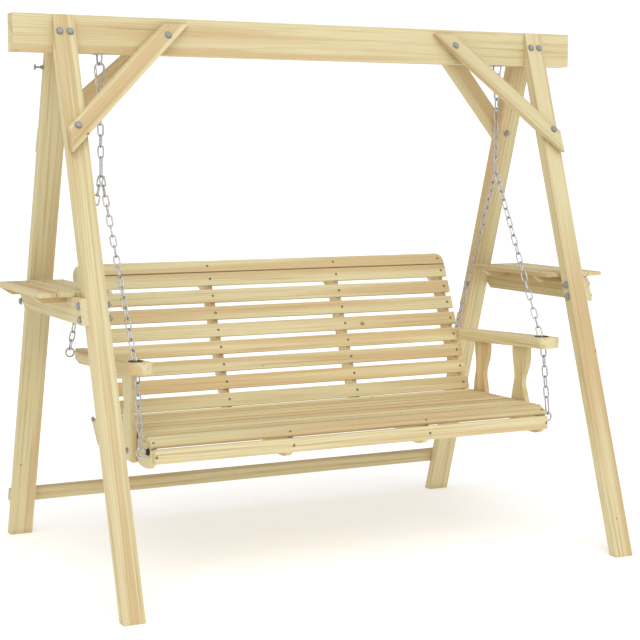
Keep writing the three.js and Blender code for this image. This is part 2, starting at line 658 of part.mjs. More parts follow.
// The rear eye is screwed into the edge of the arm; the fourth back slat ends in a notch.
const rearEyeEdge = armEdgeX(REAR_EYE[0]);
const rearEye = new THREE.Vector3(rearEyeEdge + REAR_EYE_REACH, REAR_EYE[0], railTop + REAR_EYE[1]);
const rearEyeHole = rodAlongX(RING_WIRE + 2, rearEyeEdge - 26, armOuterX, rearEye.y, rearEye.z, 12);
const notchSlat = Math.round((armTopZ(200) - ARM_THICKNESS / 2 - backFoot.y) / (BACK_PITCH * up.y));
const notchMiddle = onBack(notchSlat * BACK_PITCH, BACK_SLAT_THICKNESS / 2);
const notchLow = [armInnerX - 5, notchMiddle.x - 22, notchMiddle.y - 60];
const slatNotch = boxBetween(notchLow, [backHalf + 1.5, notchMiddle.x + 21, notchMiddle.y + 60]);
const armBlank = tipWithArm(board(armShape, -ARM_THICKNESS, 0, ALONG_Z));
addPair(bench, "arm", cut(armBlank, tipWithArm(grommetHole), rearEyeHole, slatNotch), benchWood);
addPair(bench, "grommet", tipWithArm(join(sleeveTube, flangeDisc)), blackPlastic);

// A waisted post between the end rail and the arm.
function postBoard({ middle, front, rear }) {
  const foot = railTop - POST_FOOT;
  const top = (y) => armTopZ(y) - ARM_THICKNESS - FIT;
  const edge = (side) => ([z, out]) => new THREE.Vector2(middle + side * out, railTop + z);
  const [frontFoot, frontHead] = [edge(-1)(front[0]).x, edge(-1)(front.at(-1)).x];
  const [rearFoot, rearHead] = [edge(1)(rear[0]).x, edge(1)(rear.at(-1)).x];
  const shape = new THREE.Shape();
  shape.moveTo(frontFoot, foot);
  shape.lineTo(rearFoot, foot);
  shape.lineTo(rearFoot, railTop + rear[0][0]);
  shape.splineThru(rear.slice(1).map(edge(1)));
  shape.lineTo(rearHead, top(rearHead));
  shape.lineTo(frontHead, top(frontHead));
  shape.lineTo(frontHead, railTop + front.at(-1)[0]);
  shape.splineThru(front.slice(0, -1).reverse().map(edge(-1)));
  return board(shape, railOuterX, railOuterX + PLANK, ALONG_X, 1);
}
addPair(bench, "front_post", postBoard(FRONT_POST), benchWood);
addPair(bench, "rear_post", postBoard(REAR_POST), benchWood);

// ---------------------------------------------------------------- bench chains and eye bolts

// Both chains hang side by side over the long link's lower end.
const chainTop = (y) => new THREE.Vector3(hangX, y, splitLevel + SPLIT_GAP + LINK_BITE);
const ringInside = RING_DIAMETER / 2 - RING_WIRE;
const eyeX = railOuterX + EYE_BOLT_REACH;
const bend = new THREE.Vector3(hangX, GROMMET_Y - 9, armTopZ(GROMMET_Y) - 31);
const eyeTop = new THREE.Vector3(eyeX, eyeBoltY, eyeBoltZ + ringInside - FIT - LINK_BITE - 0.1);
const lastLink = eyeTop.clone().sub(bend).setLength(LAST_LINK);
const lastStop = eyeTop.clone().sub(lastLink);
const frontStops = [chainTop(-SPLIT_SIDE)];
frontStops.push(...linkStops(frontStops[0], bend), ...linkStops(bend, lastStop), eyeTop);
addPair(bench, "front_chain", join(...chainLinks(frontStops, 90, 0)), steel);

const rearEyeTop = rearEye.clone().setZ(rearEye.z + ringInside);
const rearStops = [chainTop(SPLIT_SIDE)];
rearStops.push(...linkStops(rearStops[0], rearEyeTop));
const screwEye = eye(rearEye.x, rearEye.y, rearEye.z, rearEyeEdge - 25);
addPair(bench, "rear_chain", join(...chainLinks(rearStops, 90, 0), ...screwEye), steel);

// The front eye bolt goes through the end rail, with a washer and a nut on each side.
const boltFace = [railOuterX + FIT, armInnerX - FIT];
const nutEnd = WASHER_THICKNESS - 1 + NUT_THICKNESS;
const nuts = [
  rodAlongX(WASHER_DIAMETER, boltFace[0], boltFace[0] + WASHER_THICKNESS, eyeBoltY, eyeBoltZ, 12),
  rodAlongX(NUT_WIDTH, boltFace[0] + 1, boltFace[0] + nutEnd, eyeBoltY, eyeBoltZ, 6),
  rodAlongX(WASHER_DIAMETER, boltFace[1] - WASHER_THICKNESS, boltFace[1], eyeBoltY, eyeBoltZ, 12),
  rodAlongX(NUT_WIDTH, boltFace[1] - nutEnd, boltFace[1] - 1, eyeBoltY, eyeBoltZ, 6),
];
const eyeBolt = join(...eye(eyeX, eyeBoltY, eyeBoltZ, boltFace[1] - 11), ...nuts);
addPair(bench, "eye_bolt", eyeBolt, steel);

export default swing;
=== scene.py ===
# %% [markdown]
# # A porch swing, from frame to finish
#
# The real thing is a flat-packed garden swing: a stand of planed pine, a slatted bench, and two
# trays. Everything heavy comes from the engineering model, which is loaded first and never moved.
# Here each piece gets the detail a model for fitting and moving leaves out: eased edges, round
# wire, bolt heads, screws, and a finish for every surface.

# %% Load the frame
import math

import bpy
from mathutils import Matrix, Vector


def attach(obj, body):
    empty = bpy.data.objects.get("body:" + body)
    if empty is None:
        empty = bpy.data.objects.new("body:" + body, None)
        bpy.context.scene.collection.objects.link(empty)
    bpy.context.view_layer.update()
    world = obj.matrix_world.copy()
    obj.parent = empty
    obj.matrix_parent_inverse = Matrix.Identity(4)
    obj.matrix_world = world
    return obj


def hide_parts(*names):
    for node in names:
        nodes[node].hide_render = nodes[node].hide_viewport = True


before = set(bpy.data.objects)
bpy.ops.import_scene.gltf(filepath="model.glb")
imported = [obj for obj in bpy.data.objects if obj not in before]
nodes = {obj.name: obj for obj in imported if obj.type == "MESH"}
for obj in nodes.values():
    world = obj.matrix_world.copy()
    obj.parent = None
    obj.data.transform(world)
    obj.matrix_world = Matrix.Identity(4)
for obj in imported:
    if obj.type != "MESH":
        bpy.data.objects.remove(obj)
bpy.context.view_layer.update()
MM = 0.001

# %% [markdown]
# ## Camera
#
# The view is from in front and to the left at adult chest height, with a short telephoto lens, so
# the stand's near legs look clearly larger than its far legs.

# %% Camera
camera = bpy.data.objects.new("camera", bpy.data.cameras.new("camera"))
bpy.context.scene.collection.objects.link(camera)
bpy.context.scene.camera = camera
camera.data.sensor_width = 36.0
camera.data.lens = 87.9
camera.location = Vector((-2360.5, -4844.7, 1359.6)) * MM
YAW, PITCH = math.radians(26.318), math.radians(-6.013)
facing = Vector((math.sin(YAW) * math.cos(PITCH), math.cos(YAW) * math.cos(PITCH), math.sin(PITCH)))
camera.rotation_mode = "QUATERNION"
camera.rotation_quaternion = facing.to_track_quat("-Z", "Y")
camera.data.clip_start, camera.data.clip_end = 0.05, 400.0
print("camera looks along", [round(v, 3) for v in facing])

# %% [markdown]
# ## Small tools for finishes
#
# A finish is a chain of nodes. What several finishes share, such as grain or worn edges, is a node
# group with named inputs and outputs, so that it is written once and tuned in one place.


# %% Node tools
def put(tree, socket, value):
    """Links a value that comes from another node, or writes down one that doesn't."""
    if isinstance(value, bpy.types.NodeSocket):
        tree.links.new(value, socket)
    else:
        socket.default_value = value


def node(tree, kind, inputs=None, **settings):
    made = tree.nodes.new("ShaderNode" + kind)
    for name, value in settings.items():
        setattr(made, name, value)
    for name, value in (inputs or {}).items():
        put(tree, made.inputs[name], value)
    return made


def maths(tree, operation, a, b=0.0, c=0.0, clamp=False):
    made = node(tree, "Math", {0: a, 1: b, 2: c}, operation=operation, use_clamp=clamp)
    return made.outputs[0]


def vectors(tree, operation, a, b=(0.0, 0.0, 0.0)):
    made = node(tree, "VectorMath", {0: a, 1: b}, operation=operation)
    return made.outputs["Value" if operation in ("DOT_PRODUCT", "LENGTH") else "Vector"]


def blend_colour(tree, how_much, a, b, kind="MIX"):
    made = node(tree, "Mix", data_type="RGBA", blend_type=kind)
    put(tree, made.inputs[0], how_much)
    put(tree, made.inputs[6], a)
    put(tree, made.inputs[7], b)
    return made.outputs[2]


def grey_of(tree, value):
    return node(tree, "CombineColor", {0: value, 1: value, 2: value}).outputs[0]


def remap(tree, value, low, high, to_low=0.0, to_high=1.0):
    made = node(tree, "MapRange", {0: value, 1: low, 2: high, 3: to_low, 4: to_high})
    made.interpolation_type = "SMOOTHSTEP"
    return made.outputs[0]


def noise(tree, vector, scale, detail=2.0, roughness=0.5):
    made = node(tree, "TexNoise", {"Vector": vector, "Scale": scale, "Detail": detail})
    made.inputs["Roughness"].default_value = roughness
    return made.outputs[0]


def scaled(tree, vector, by):
    return vectors(tree, "MULTIPLY", vector, by)


def new_group(name, inputs, outputs):
    group = bpy.data.node_groups.new(name, "ShaderNodeTree")
    for label, kind, value in inputs:
        socket = group.interface.new_socket(
            name=label, in_out="INPUT", socket_type="NodeSocket" + kind
        )
        if value is not None:
            socket.default_value = value
    for label, kind in outputs:
        group.interface.new_socket(name=label, in_out="OUTPUT", socket_type="NodeSocket" + kind)
    given = group.nodes.new("NodeGroupInput").outputs
    result = group.nodes.new("NodeGroupOutput").inputs
    return group, given, result


def use(tree, group, inputs):
    made = tree.nodes.new("ShaderNodeGroup")
    made.node_tree = group
    for name, value in inputs.items():
        put(tree, made.inputs[name], value)
    return made.outputs


print("finish tools: maths, vectors, noise, remap, node groups")

# %% [markdown]
# ## Grain of planed pine
#
# A board is a slice of a tree, so its pattern is a solid one: growth rings round a heart that lies
# just outside the board, pale spring wood shading into a thin darker summer line, bowed aside where
# a branch left a knot. Fine fibres run along it. Each board takes its own seed, so no two match.
# Grain points along the board, and Width across its broad face.

# %% Pine group
pine, given, result = new_group(
    "Pine board",
    [
        ("Grain", "Vector", (1.0, 0.0, 0.0)),
        ("Width", "Vector", (0.0, 1.0, 0.0)),
        ("Seed", "Float", 0.5),
        ("Pale", "Color", (0.8, 0.7, 0.45, 1.0)),
        ("Heartwood", "Color", (0.7, 0.54, 0.28, 1.0)),
        ("Summer wood", "Color", (0.6, 0.42, 0.18, 1.0)),
        ("Knot", "Color", (0.22, 0.10, 0.04, 1.0)),
        ("Ring width", "Float", 0.0055),
        ("Knots", "Float", 0.4),
    ],
    [("Color", "Color"), ("Roughness", "Float"), ("Height", "Float")],
)
place = node(pine, "TexCoord").outputs["Object"]
depth = vectors(pine, "CROSS_PRODUCT", given["Grain"], given["Width"])
parts = [
    vectors(pine, "DOT_PRODUCT", place, way) for way in (given["Grain"], given["Width"], depth)
]
in_board = node(pine, "CombineXYZ", {0: parts[0], 1: parts[1], 2: parts[2]}).outputs[0]
seed_shift = node(
    pine, "VectorMath", {0: (13.1, 7.7, 3.3), "Scale": given["Seed"]}, operation="SCALE"
).outputs["Vector"]
shifted = vectors(pine, "ADD", in_board, seed_shift)

slow = noise(pine, scaled(pine, shifted, (0.9, 7.0, 7.0)), 1.0, 2.0)
wander = maths(pine, "MULTIPLY", maths(pine, "SUBTRACT", slow, 0.5), 0.055)
axes = node(pine, "SeparateXYZ", {0: shifted}).outputs
across = maths(pine, "ADD", maths(pine, "PINGPONG", axes[1], 0.085), wander)
through = maths(pine, "ADD", maths(pine, "PINGPONG", axes[2], 0.05), 0.012)
ring_at = node(pine, "CombineXYZ", {0: 0.0, 1: across, 2: through}).outputs[0]
radius = vectors(pine, "LENGTH", ring_at)

# %% [markdown]
# A knot is round on the face of the board, and only some of the cells hold one.

# %% Knots and growth rings
flat = node(pine, "CombineXYZ", {0: axes[0], 1: axes[1], 2: 0.0}).outputs[0]
cells = node(pine, "TexVoronoi", {"Vector": flat, "Scale": 5.2}, voronoi_dimensions="2D")
chance = node(pine, "SeparateColor", {0: cells.outputs["Color"]}).outputs
present = maths(pine, "LESS_THAN", chance[0], given["Knots"])
knot_size = maths(pine, "MULTIPLY_ADD", chance[1], 0.030, 0.012)
from_knot = maths(pine, "DIVIDE", cells.outputs["Distance"], knot_size)
ragged = noise(pine, shifted, 90.0, 2.0)
from_knot = maths(pine, "ADD", from_knot, maths(pine, "MULTIPLY", ragged, 0.35))
bow = maths(pine, "MULTIPLY", remap(pine, from_knot, 4.5, 0.3, 0.0, 0.010), present)
rings = maths(pine, "DIVIDE", maths(pine, "ADD", radius, bow), given["Ring width"])
phase = maths(pine, "FRACT", rings)
line = node(pine, "ValToRGB", {0: phase})
line.color_ramp.interpolation = "EASE"
for at, value in ((0.45, 0.10), (0.80, 0.95), (0.90, 1.0)):
    stop = line.color_ramp.elements.new(at)
    stop.color = (value, value, value, 1.0)
line.color_ramp.elements[0].color = (0.0, 0.0, 0.0, 1.0)
line.color_ramp.elements[-1].color = (0.0, 0.0, 0.0, 1.0)
summer = line.outputs[0]
print("growth rings and knots wired")

# %% [markdown]
# Colour runs from pale sapwood to tan heartwood in broad bands, with summer lines, fine streaks
# and a slow change of depth laid over it.

# %% Colour of pine
fibre = noise(pine, scaled(pine, shifted, (9.0, 420.0, 420.0)), 1.0, 3.0)
streak = noise(pine, scaled(pine, shifted, (1.3, 85.0, 85.0)), 1.0, 3.0, 0.6)
patch = noise(pine, scaled(pine, shifted, (1.1, 5.0, 5.0)), 1.0, 1.0)

band = noise(pine, scaled(pine, shifted, (0.5, 15.0, 15.0)), 1.0, 2.0)
heartwood = remap(pine, band, 0.46, 0.60)
tan_share = maths(pine, "MULTIPLY", heartwood, 0.9)
colour = blend_colour(pine, tan_share, given["Pale"], given["Heartwood"])
amount = maths(pine, "MULTIPLY", summer, remap(pine, patch, 0.30, 0.70, 0.05, 0.34))
amount = maths(pine, "ADD", amount, remap(pine, streak, 0.50, 0.74, 0.0, 0.62), clamp=True)
colour = blend_colour(pine, amount, colour, given["Summer wood"])
lift = remap(pine, fibre, 0.25, 0.75, 0.94, 1.04)
tone = maths(pine, "MULTIPLY", lift, maths(pine, "MULTIPLY_ADD", given["Seed"], 0.14, 0.93))
colour = blend_colour(pine, 1.0, colour, grey_of(pine, tone), "MULTIPLY")
heart = maths(pine, "MULTIPLY", remap(pine, from_knot, 1.35, 0.75), present)
halo = maths(pine, "MULTIPLY", remap(pine, from_knot, 2.6, 0.9, 0.0, 0.35), present)
colour = blend_colour(pine, halo, colour, given["Summer wood"])
colour = blend_colour(pine, maths(pine, "MULTIPLY", heart, 0.75), colour, given["Knot"])
pine.links.new(colour, result["Color"])
dull = remap(pine, fibre, 0.2, 0.8, 0.60, 0.72)
resin = maths(pine, "MULTIPLY", heart, 0.15)
pine.links.new(maths(pine, "SUBTRACT", dull, resin), result["Roughness"])
half_fibre = maths(pine, "MULTIPLY", fibre, 0.5)
half_summer = maths(pine, "MULTIPLY", summer, 0.5)
pine.links.new(maths(pine, "ADD", half_fibre, half_summer), result["Height"])
print("group", pine.name, "has", len(pine.nodes), "nodes")

# %% [markdown]
# ## Edges and corners: painted highlight and painted shade
#
# A planer and a drum sander take the arris off every board, and the rounded corner is painted paler
# as a painted highlight where the edge catches the light. Painted shade darkens where two boards
# meet. Both are masks that any finish can use.

# %% Edge and crevice groups
# Painted highlight: the colour is made paler on rounded edges, where they catch the light.
edge_highlight, given, result = new_group(
    "Painted edge highlight", [("Width", "Float", 0.003), ("Strength", "Float", 1.0)], [("Mask", "Float")]
)
rounded = node(edge_highlight, "Bevel", {"Radius": given["Width"]}, samples=4).outputs[0]
straight = node(edge_highlight, "NewGeometry").outputs["Normal"]
bend = vectors(edge_highlight, "DOT_PRODUCT", rounded, straight)
edge_sheen = remap(edge_highlight, bend, 0.995, 0.80, 0.0, 1.0)
edge_highlight.links.new(maths(edge_highlight, "MULTIPLY", edge_sheen, given["Strength"]), result["Mask"])

# Painted shade: darker colour where ambient occlusion finds closed-in corners between parts.
crevice, given, result = new_group(
    "Crevice shade", [("Reach", "Float", 0.03), ("Strength", "Float", 1.0)], [("Mask", "Float")]
)
open_air = node(crevice, "AmbientOcclusion", {"Distance": given["Reach"]}, samples=6).outputs["AO"]
closed_in = remap(crevice, open_air, 0.85, 0.25)
crevice.links.new(maths(crevice, "MULTIPLY", closed_in, given["Strength"]), result["Mask"])
print("groups", edge_highlight.name, "and", crevice.name)

# %% [markdown]
# ## Pine finishes
#
# The stock is pressure treated pine, pale straw with a hint of green. One finish is made for each
# way that boards lie, since grain always runs along a board.


# %% Pine material
# Colours of the painted highlight on edges and of the painted shade in crevices.
EDGE_HIGHLIGHT = (0.93, 0.86, 0.66, 1.0)
PAINTED_SHADE_BROWN = (0.40, 0.27, 0.12, 1.0)


def pine_finish(name, grain, width, tones, knots=0.22, ring=0.0055):
    material = bpy.data.materials.new(name)
    material.use_nodes = True
    tree = material.node_tree
    surface = tree.nodes["Principled BSDF"]
    wood = use(tree, pine, {
        "Grain": grain,
        "Width": width,
        "Seed": node(tree, "ObjectInfo").outputs["Random"],
        "Pale": tones[0],
        "Heartwood": tones[1],
        "Summer wood": tones[2],
        "Ring width": ring,
        "Knots": knots,
    })
    # Painted highlight on rounded edges and painted shade in crevices, laid into the wood's colour.
    edge_sheen = use(tree, edge_highlight, {"Width": 0.0022, "Strength": 0.30})["Mask"]
    shade = use(tree, crevice, {"Reach": 0.035, "Strength": 0.38})["Mask"]
    colour = blend_colour(tree, edge_sheen, wood["Color"], EDGE_HIGHLIGHT)
    colour = blend_colour(tree, shade, colour, PAINTED_SHADE_BROWN)
    tree.links.new(colour, surface.inputs["Base Color"])
    tree.links.new(wood["Roughness"], surface.inputs["Roughness"])
    surface.inputs["Specular IOR Level"].default_value = 0.28
    bump = node(tree, "Bump", {"Height": wood["Height"], "Distance": 0.0004, "Strength": 0.35})
    tree.links.new(bump.outputs[0], surface.inputs["Normal"])
    return material


print("pine material ready")

# %% [markdown]
# The lean of the legs, of the braces' faces, of the back and of its top slat give the directions
# that their grain follows. Tones are sapwood, heartwood and summer wood.

# %% Pine finishes
STAND_TONES = ((0.73, 0.645, 0.385, 1.0), (0.63, 0.465, 0.245, 1.0), (0.48, 0.325, 0.14, 1.0))
BENCH_TONES = ((0.76, 0.675, 0.405, 1.0), (0.67, 0.505, 0.27, 1.0), (0.50, 0.34, 0.15, 1.0))
LEG_SLOPE = 0.33472
LEG, BRACE = math.atan(LEG_SLOPE), math.atan(0.394)
BACK, TOP = math.radians(22.95), math.radians(40.0)
DIAGONAL = 0.7071
along_x, along_y, along_z = (1, 0, 0), (0, 1, 0), (0, 0, 1)
finishes = {}
for name, grain, width in (
    ("beam", along_x, along_z),
    ("front_leg", (0, math.sin(LEG), math.cos(LEG)), along_x),
    ("rear_leg", (0, -math.sin(LEG), math.cos(LEG)), along_x),
    ("stretcher", along_x, along_z),
    ("tray", along_y, along_x),
    ("tray_rail", along_y, along_z),
    ("cleat", along_x, along_y),
):
    finishes[name] = pine_finish("pine_" + name, grain, width, STAND_TONES)
for side, sign in (("l", -1), ("r", 1)):
    for way, lean in (("front", 1), ("rear", -1)):
        grain = DIAGONAL * Vector((sign, -lean * math.sin(BRACE), -math.cos(BRACE)))
        flat_up = Vector((0, lean * math.sin(BRACE), math.cos(BRACE)))
        width = (Vector((sign * 1.0, 0, 0)) + flat_up).normalized()
        label = "brace_" + way + "_" + side
        finishes[label] = pine_finish(
            "pine_" + label, tuple(grain.normalized()), tuple(width), STAND_TONES
        )
for name, grain, width in (
    ("seat_slat", along_x, along_y),
    ("back_slat", along_x, (0, math.sin(BACK), math.cos(BACK))),
    ("apron", along_x, along_z),
    ("arm", along_y, along_x),
    ("post", along_z, along_y),
    ("rail", along_y, along_z),
    ("upright", (0, math.sin(BACK), math.cos(BACK)), (0, math.cos(BACK), -math.sin(BACK))),
):
    finishes[name] = pine_finish("pine_" + name, grain, width, BENCH_TONES)
print(len(finishes), "pine finishes")

# %% [markdown]
# ## Metal and plastic finishes
#
# The chain and bolts are zinc plated: a grey, faintly mottled metal. The wood screws are dark
# phosphated steel. The grommets are moulded in black plastic. Each of these finishes has a painted
# highlight on its edges and painted shade in its crevices.


# %% Metal and plastic finishes
def plain_finish(name, colour, second, metal, low, high, grain_size, bump_height=0.0):
    material = bpy.data.materials.new(name)
    material.use_nodes = True
    tree = material.node_tree
    surface = tree.nodes["Principled BSDF"]
    place = node(tree, "TexCoord").outputs["Object"]
    mottle = noise(tree, place, grain_size, 3.0)
    # Painted highlight makes edges lighter, and painted shade makes crevices darker.
    edge_sheen = use(tree, edge_highlight, {"Width": 0.0012, "Strength": 0.5})["Mask"]
    shade = use(tree, crevice, {"Reach": 0.008, "Strength": 0.55})["Mask"]
    base = blend_colour(tree, remap(tree, mottle, 0.35, 0.65), colour, second)
    highlight_colour = tuple(min(1.0, c * 1.35) for c in colour[:3]) + (1.0,)
    base = blend_colour(tree, edge_sheen, base, highlight_colour)
    base = blend_colour(tree, shade, base, tuple(c * 0.3 for c in colour[:3]) + (1.0,))
    tree.links.new(base, surface.inputs["Base Color"])
    surface.inputs["Metallic"].default_value = metal
    tree.links.new(remap(tree, mottle, 0.3, 0.7, low, high), surface.inputs["Roughness"])
    if bump_height:
        bump = node(tree, "Bump", {"Height": mottle, "Distance": bump_height, "Strength": 0.5})
        tree.links.new(bump.outputs[0], surface.inputs["Normal"])
    return material


def opaque(red, green, blue):
    return (red, green, blue, 1.0)


zinc = plain_finish(
    "zinc_plate", opaque(0.62, 0.62, 0.63), opaque(0.50, 0.50, 0.52), metal=1.0, low=0.28,
    high=0.40, grain_size=160.0, bump_height=0.00005,
)
dull_zinc = plain_finish(
    "dull_zinc", opaque(0.42, 0.41, 0.405), opaque(0.34, 0.335, 0.33), metal=0.55, low=0.48,
    high=0.62, grain_size=220.0, bump_height=0.00005,
)
dark_steel = plain_finish(
    "dark_screw", opaque(0.10, 0.085, 0.07), opaque(0.07, 0.06, 0.05), metal=0.8, low=0.4,
    high=0.55, grain_size=300.0,
)
black_plastic = plain_finish(
    "black_plastic", opaque(0.018, 0.018, 0.02), opaque(0.026, 0.026, 0.028), metal=0.0, low=0.38,
    high=0.5, grain_size=220.0, bump_height=0.00006,
)
print("zinc, dull zinc, dark steel and black plastic made")


# %% [markdown]
# ## Easing and handing over
#
# Real edges are never sharp, so a small bevel goes round most pieces. Each finished piece then
# gets the body it moves with.


# %% Ease and keep
def keep(piece, body, slot_name, material, *replaced, bevel=0.0, segments=2):
    """Finishes a piece made here and hands it to the frame."""
    piece.data.materials.clear()
    piece.data.materials.append(material)
    if bevel:
        ease(piece, bevel, segments)
    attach(piece, body)
    if replaced:
        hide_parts(*replaced)
    return piece


def ease(piece, width, segments=2):
    modifier = piece.modifiers.new("eased_edges", "BEVEL")
    modifier.width = width
    modifier.segments = segments
    modifier.limit_method = "ANGLE"
    modifier.angle_limit = math.radians(38)
    modifier.harden_normals = True
    return modifier


print("easing and hand-over ready")

# %% [markdown]
# ## The stand's timbers
#
# Beam, legs, braces and stretcher are plain planed timber, so the model's own solids carry on. Each
# gets eased edges and grain along its length.

# %% Stand timbers
def finish_node(name, material, width, segments=2):
    piece = nodes[name]
    piece.data.materials.clear()
    piece.data.materials.append(material)
    if width:
        ease(piece, width, segments)


finish_node("top_beam", finishes["beam"], 0.003, 3)
finish_node("rear_stretcher", finishes["stretcher"], 0.002)
for side in "lr":
    finish_node("front_leg_" + side, finishes["front_leg"], 0.003, 3)
    finish_node("rear_leg_" + side, finishes["rear_leg"], 0.003, 3)
    finish_node("front_brace_" + side, finishes["brace_front_" + side], 0.002)
    finish_node("rear_brace_" + side, finishes["brace_rear_" + side], 0.002)
    finish_node("tray_rail_" + side, finishes["tray_rail"], 0.0015)
print("stand timbers finished")

# %% [markdown]
# ## Sawn boards and pairs
#
# A sawn board is a flat outline with a thickness, so its mesh is written straight from the
# outline's points: fewer steps than carving a cube, and the sizes stay readable. Most pieces come
# in pairs. The right-hand one is drawn, and its mirror image serves on the left.


# %% Boards and pairs
def mesh_object(name, verts, faces, smooth=False):
    """A mesh in the model's own frame, so its origin stays at the frame's origin."""
    mesh = bpy.data.meshes.new(name)
    mesh.from_pydata([tuple(v) for v in verts], [], faces)
    mesh.validate()
    mesh.update()
    for polygon in mesh.polygons:
        polygon.use_smooth = smooth
    made = bpy.data.objects.new(name, mesh)
    bpy.context.scene.collection.objects.link(made)
    return made


def prism(outline, low, high, place):
    """Vertices and faces of an outline with a thickness; place(a, b, depth) gives each point."""
    count = len(outline)
    verts = [place(a, b, low) for a, b in outline] + [place(a, b, high) for a, b in outline]
    area = sum(
        outline[i][0] * outline[(i + 1) % count][1] - outline[(i + 1) % count][0] * outline[i][1]
        for i in range(count)
    )
    order = list(range(count)) if area > 0 else list(range(count))[::-1]
    faces = [tuple(reversed(order)), tuple(i + count for i in order)]
    for k in range(count):
        i, j = order[k], order[(k + 1) % count]
        faces.append((i, j, j + count, i + count))
    return verts, faces


def mirrored(part):
    """The same piece on the other side of the swing."""
    verts, faces = part
    return [(-v[0], v[1], v[2]) for v in verts], [tuple(reversed(face)) for face in faces]


def on_side(part, sign):
    """A piece drawn for the right-hand side, or its mirror image for the left."""
    return part if sign > 0 else mirrored(part)


SIDES = (("r", 1), ("l", -1))
print("board tools ready for", len(SIDES), "sides")

# %% [markdown]
# ## Side trays
#
# On each side four short boards are screwed down on two cleats. The model has them as one solid,
# so they are drawn again as separate boards, with the small gaps that let rain through.

# %% Side trays
TRAY_TOP, TRAY_UNDER, CLEAT_UNDER = 0.944, 0.930, 0.908
TRAY_IN, TRAY_OUT, TRAY_END, CLEAT_Y = 0.805, 1.040, 0.257, 0.1725
BOARD_GAP = 0.0015
CLEAT_HALF, CLEAT_SPLAY = 0.0175, 0.033
board_width = (TRAY_OUT - TRAY_IN - 3 * BOARD_GAP) / 4
for side, sign in SIDES:
    for i in range(4):
        x0 = TRAY_IN + i * (board_width + BOARD_GAP)
        x1 = x0 + board_width
        outline = [(x0, -TRAY_END), (x1, -TRAY_END), (x1, TRAY_END), (x0, TRAY_END)]
        part = prism(outline, TRAY_UNDER, TRAY_TOP, lambda a, b, d: (a, b, d))
        piece = mesh_object(f"tray_board_{side}_{i + 1}", *on_side(part, sign))
        keep(piece, "stand", "stand_wood", finishes["tray"], bevel=0.0018)
    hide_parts("side_tray_" + side)
    for label, y in (("front", -CLEAT_Y), ("rear", CLEAT_Y)):
        outline = [
            (TRAY_IN + CLEAT_SPLAY, CLEAT_UNDER), (TRAY_OUT - CLEAT_SPLAY, CLEAT_UNDER),
            (TRAY_OUT, TRAY_UNDER), (TRAY_IN, TRAY_UNDER),
        ]
        part = prism(outline, -(y + CLEAT_HALF), -(y - CLEAT_HALF), lambda a, b, d: (a, -d, b))
        piece = mesh_object(f"tray_cleat_{side}_{label}", *on_side(part, sign))
        keep(piece, "stand", "stand_wood", finishes["cleat"], bevel=0.0012)
print("trays made")

# %% [markdown]
# ## Bench slats
#
# Seat and back slats are planed boards with generously rounded edges, so that they are kind to the
# backs of knees. They stay as the model has them and are only eased, less where the lowest back
# slat meets the seat.

# %% Bench slats
SEAT_SLATS, BACK_SLATS = 8, 9
MEETING_EDGE = 0.0008
for i in range(1, SEAT_SLATS + 1):
    edge = MEETING_EDGE if i == SEAT_SLATS else 0.0035
    finish_node(f"seat_slat_{i}", finishes["seat_slat"], edge, 3)
for i in range(1, BACK_SLATS + 1):
    edge = MEETING_EDGE if i == 1 else 0.003
    finish_node(f"back_slat_{i}", finishes["back_slat"], edge, 3)
finish_node("seat_nosing", finishes["seat_slat"], 0.002, 2)
finish_node("front_apron", finishes["apron"], 0.003, 3)
print(SEAT_SLATS, "seat slats and", BACK_SLATS, "back slats finished")

# %% [markdown]
# ## Rails, uprights, posts and arms
#
# Seat and back are flat boards on a few leaning lines: the rails' top, the back's lean and the
# arm's fall to the rear. Written down once, these lines place rails, uprights, posts, arms, chains
# and screws, so that nothing drifts apart.

# %% Lines of the bench
RAIL_TOP = 475.0
BACK_FOOT = Vector((129.3, RAIL_TOP + 38.8))
UP, BEHIND = Vector((math.sin(BACK), math.cos(BACK))), Vector((math.cos(BACK), -math.sin(BACK)))
TOP_UP = Vector((math.sin(TOP), math.cos(TOP)))
TOP_BEHIND = Vector((math.cos(TOP), -math.sin(TOP)))
SLAT_PITCH, SLAT_DEEP, UPRIGHT_DEEP = 63.4, 12.0, 58.0
LAST = 7 * SLAT_PITCH + 23.5
SEAT_FALL, ARM_FALL, NOSE = 0.01185, 0.0455, math.radians(25)
NOSE_AT = Vector((-335.0, 494.0))
LAP, SLAT = 0.3, 18.0


def on_back(along, deep):
    """A point on the back's lean: how far up it, and how deep behind the slats' faces."""
    return BACK_FOOT + UP * along + BEHIND * deep


def seat_top(y):
    return 493.0 - SEAT_FALL * (y + 326.0)


def arm_top(y):
    return RAIL_TOP + 254.0 - ARM_FALL * (y + 356.0)


print("seat at", seat_top(0), "and arm at", round(arm_top(0), 1), "mm")

# %% [markdown]
# Rails, uprights and posts are band-sawn to curves: the scrolled underside of the rails, the heads
# of the uprights that roll over to the rear, and the waisted posts. A few measured points with a
# smooth run between them give the saw line, which a coarse model's straight steps can't.


# %% Curved outlines
def spline(points, steps=8):
    """A smooth run through the points, leaving out the first."""
    run = []
    for i in range(len(points) - 1):
        p0, p1 = points[max(i - 1, 0)], points[i]
        p2, p3 = points[i + 1], points[min(i + 2, len(points) - 1)]
        for s in range(1, steps + 1):
            t = s / steps
            run.append(tuple(
                p1[k]
                + 0.5 * t * (p2[k] - p0[k])
                + t * t * (p0[k] - 2.5 * p1[k] + 2 * p2[k] - 0.5 * p3[k])
                + t * t * t * (1.5 * (p1[k] - p2[k]) + 0.5 * (p3[k] - p0[k]))
                for k in (0, 1)
            ))
    return run


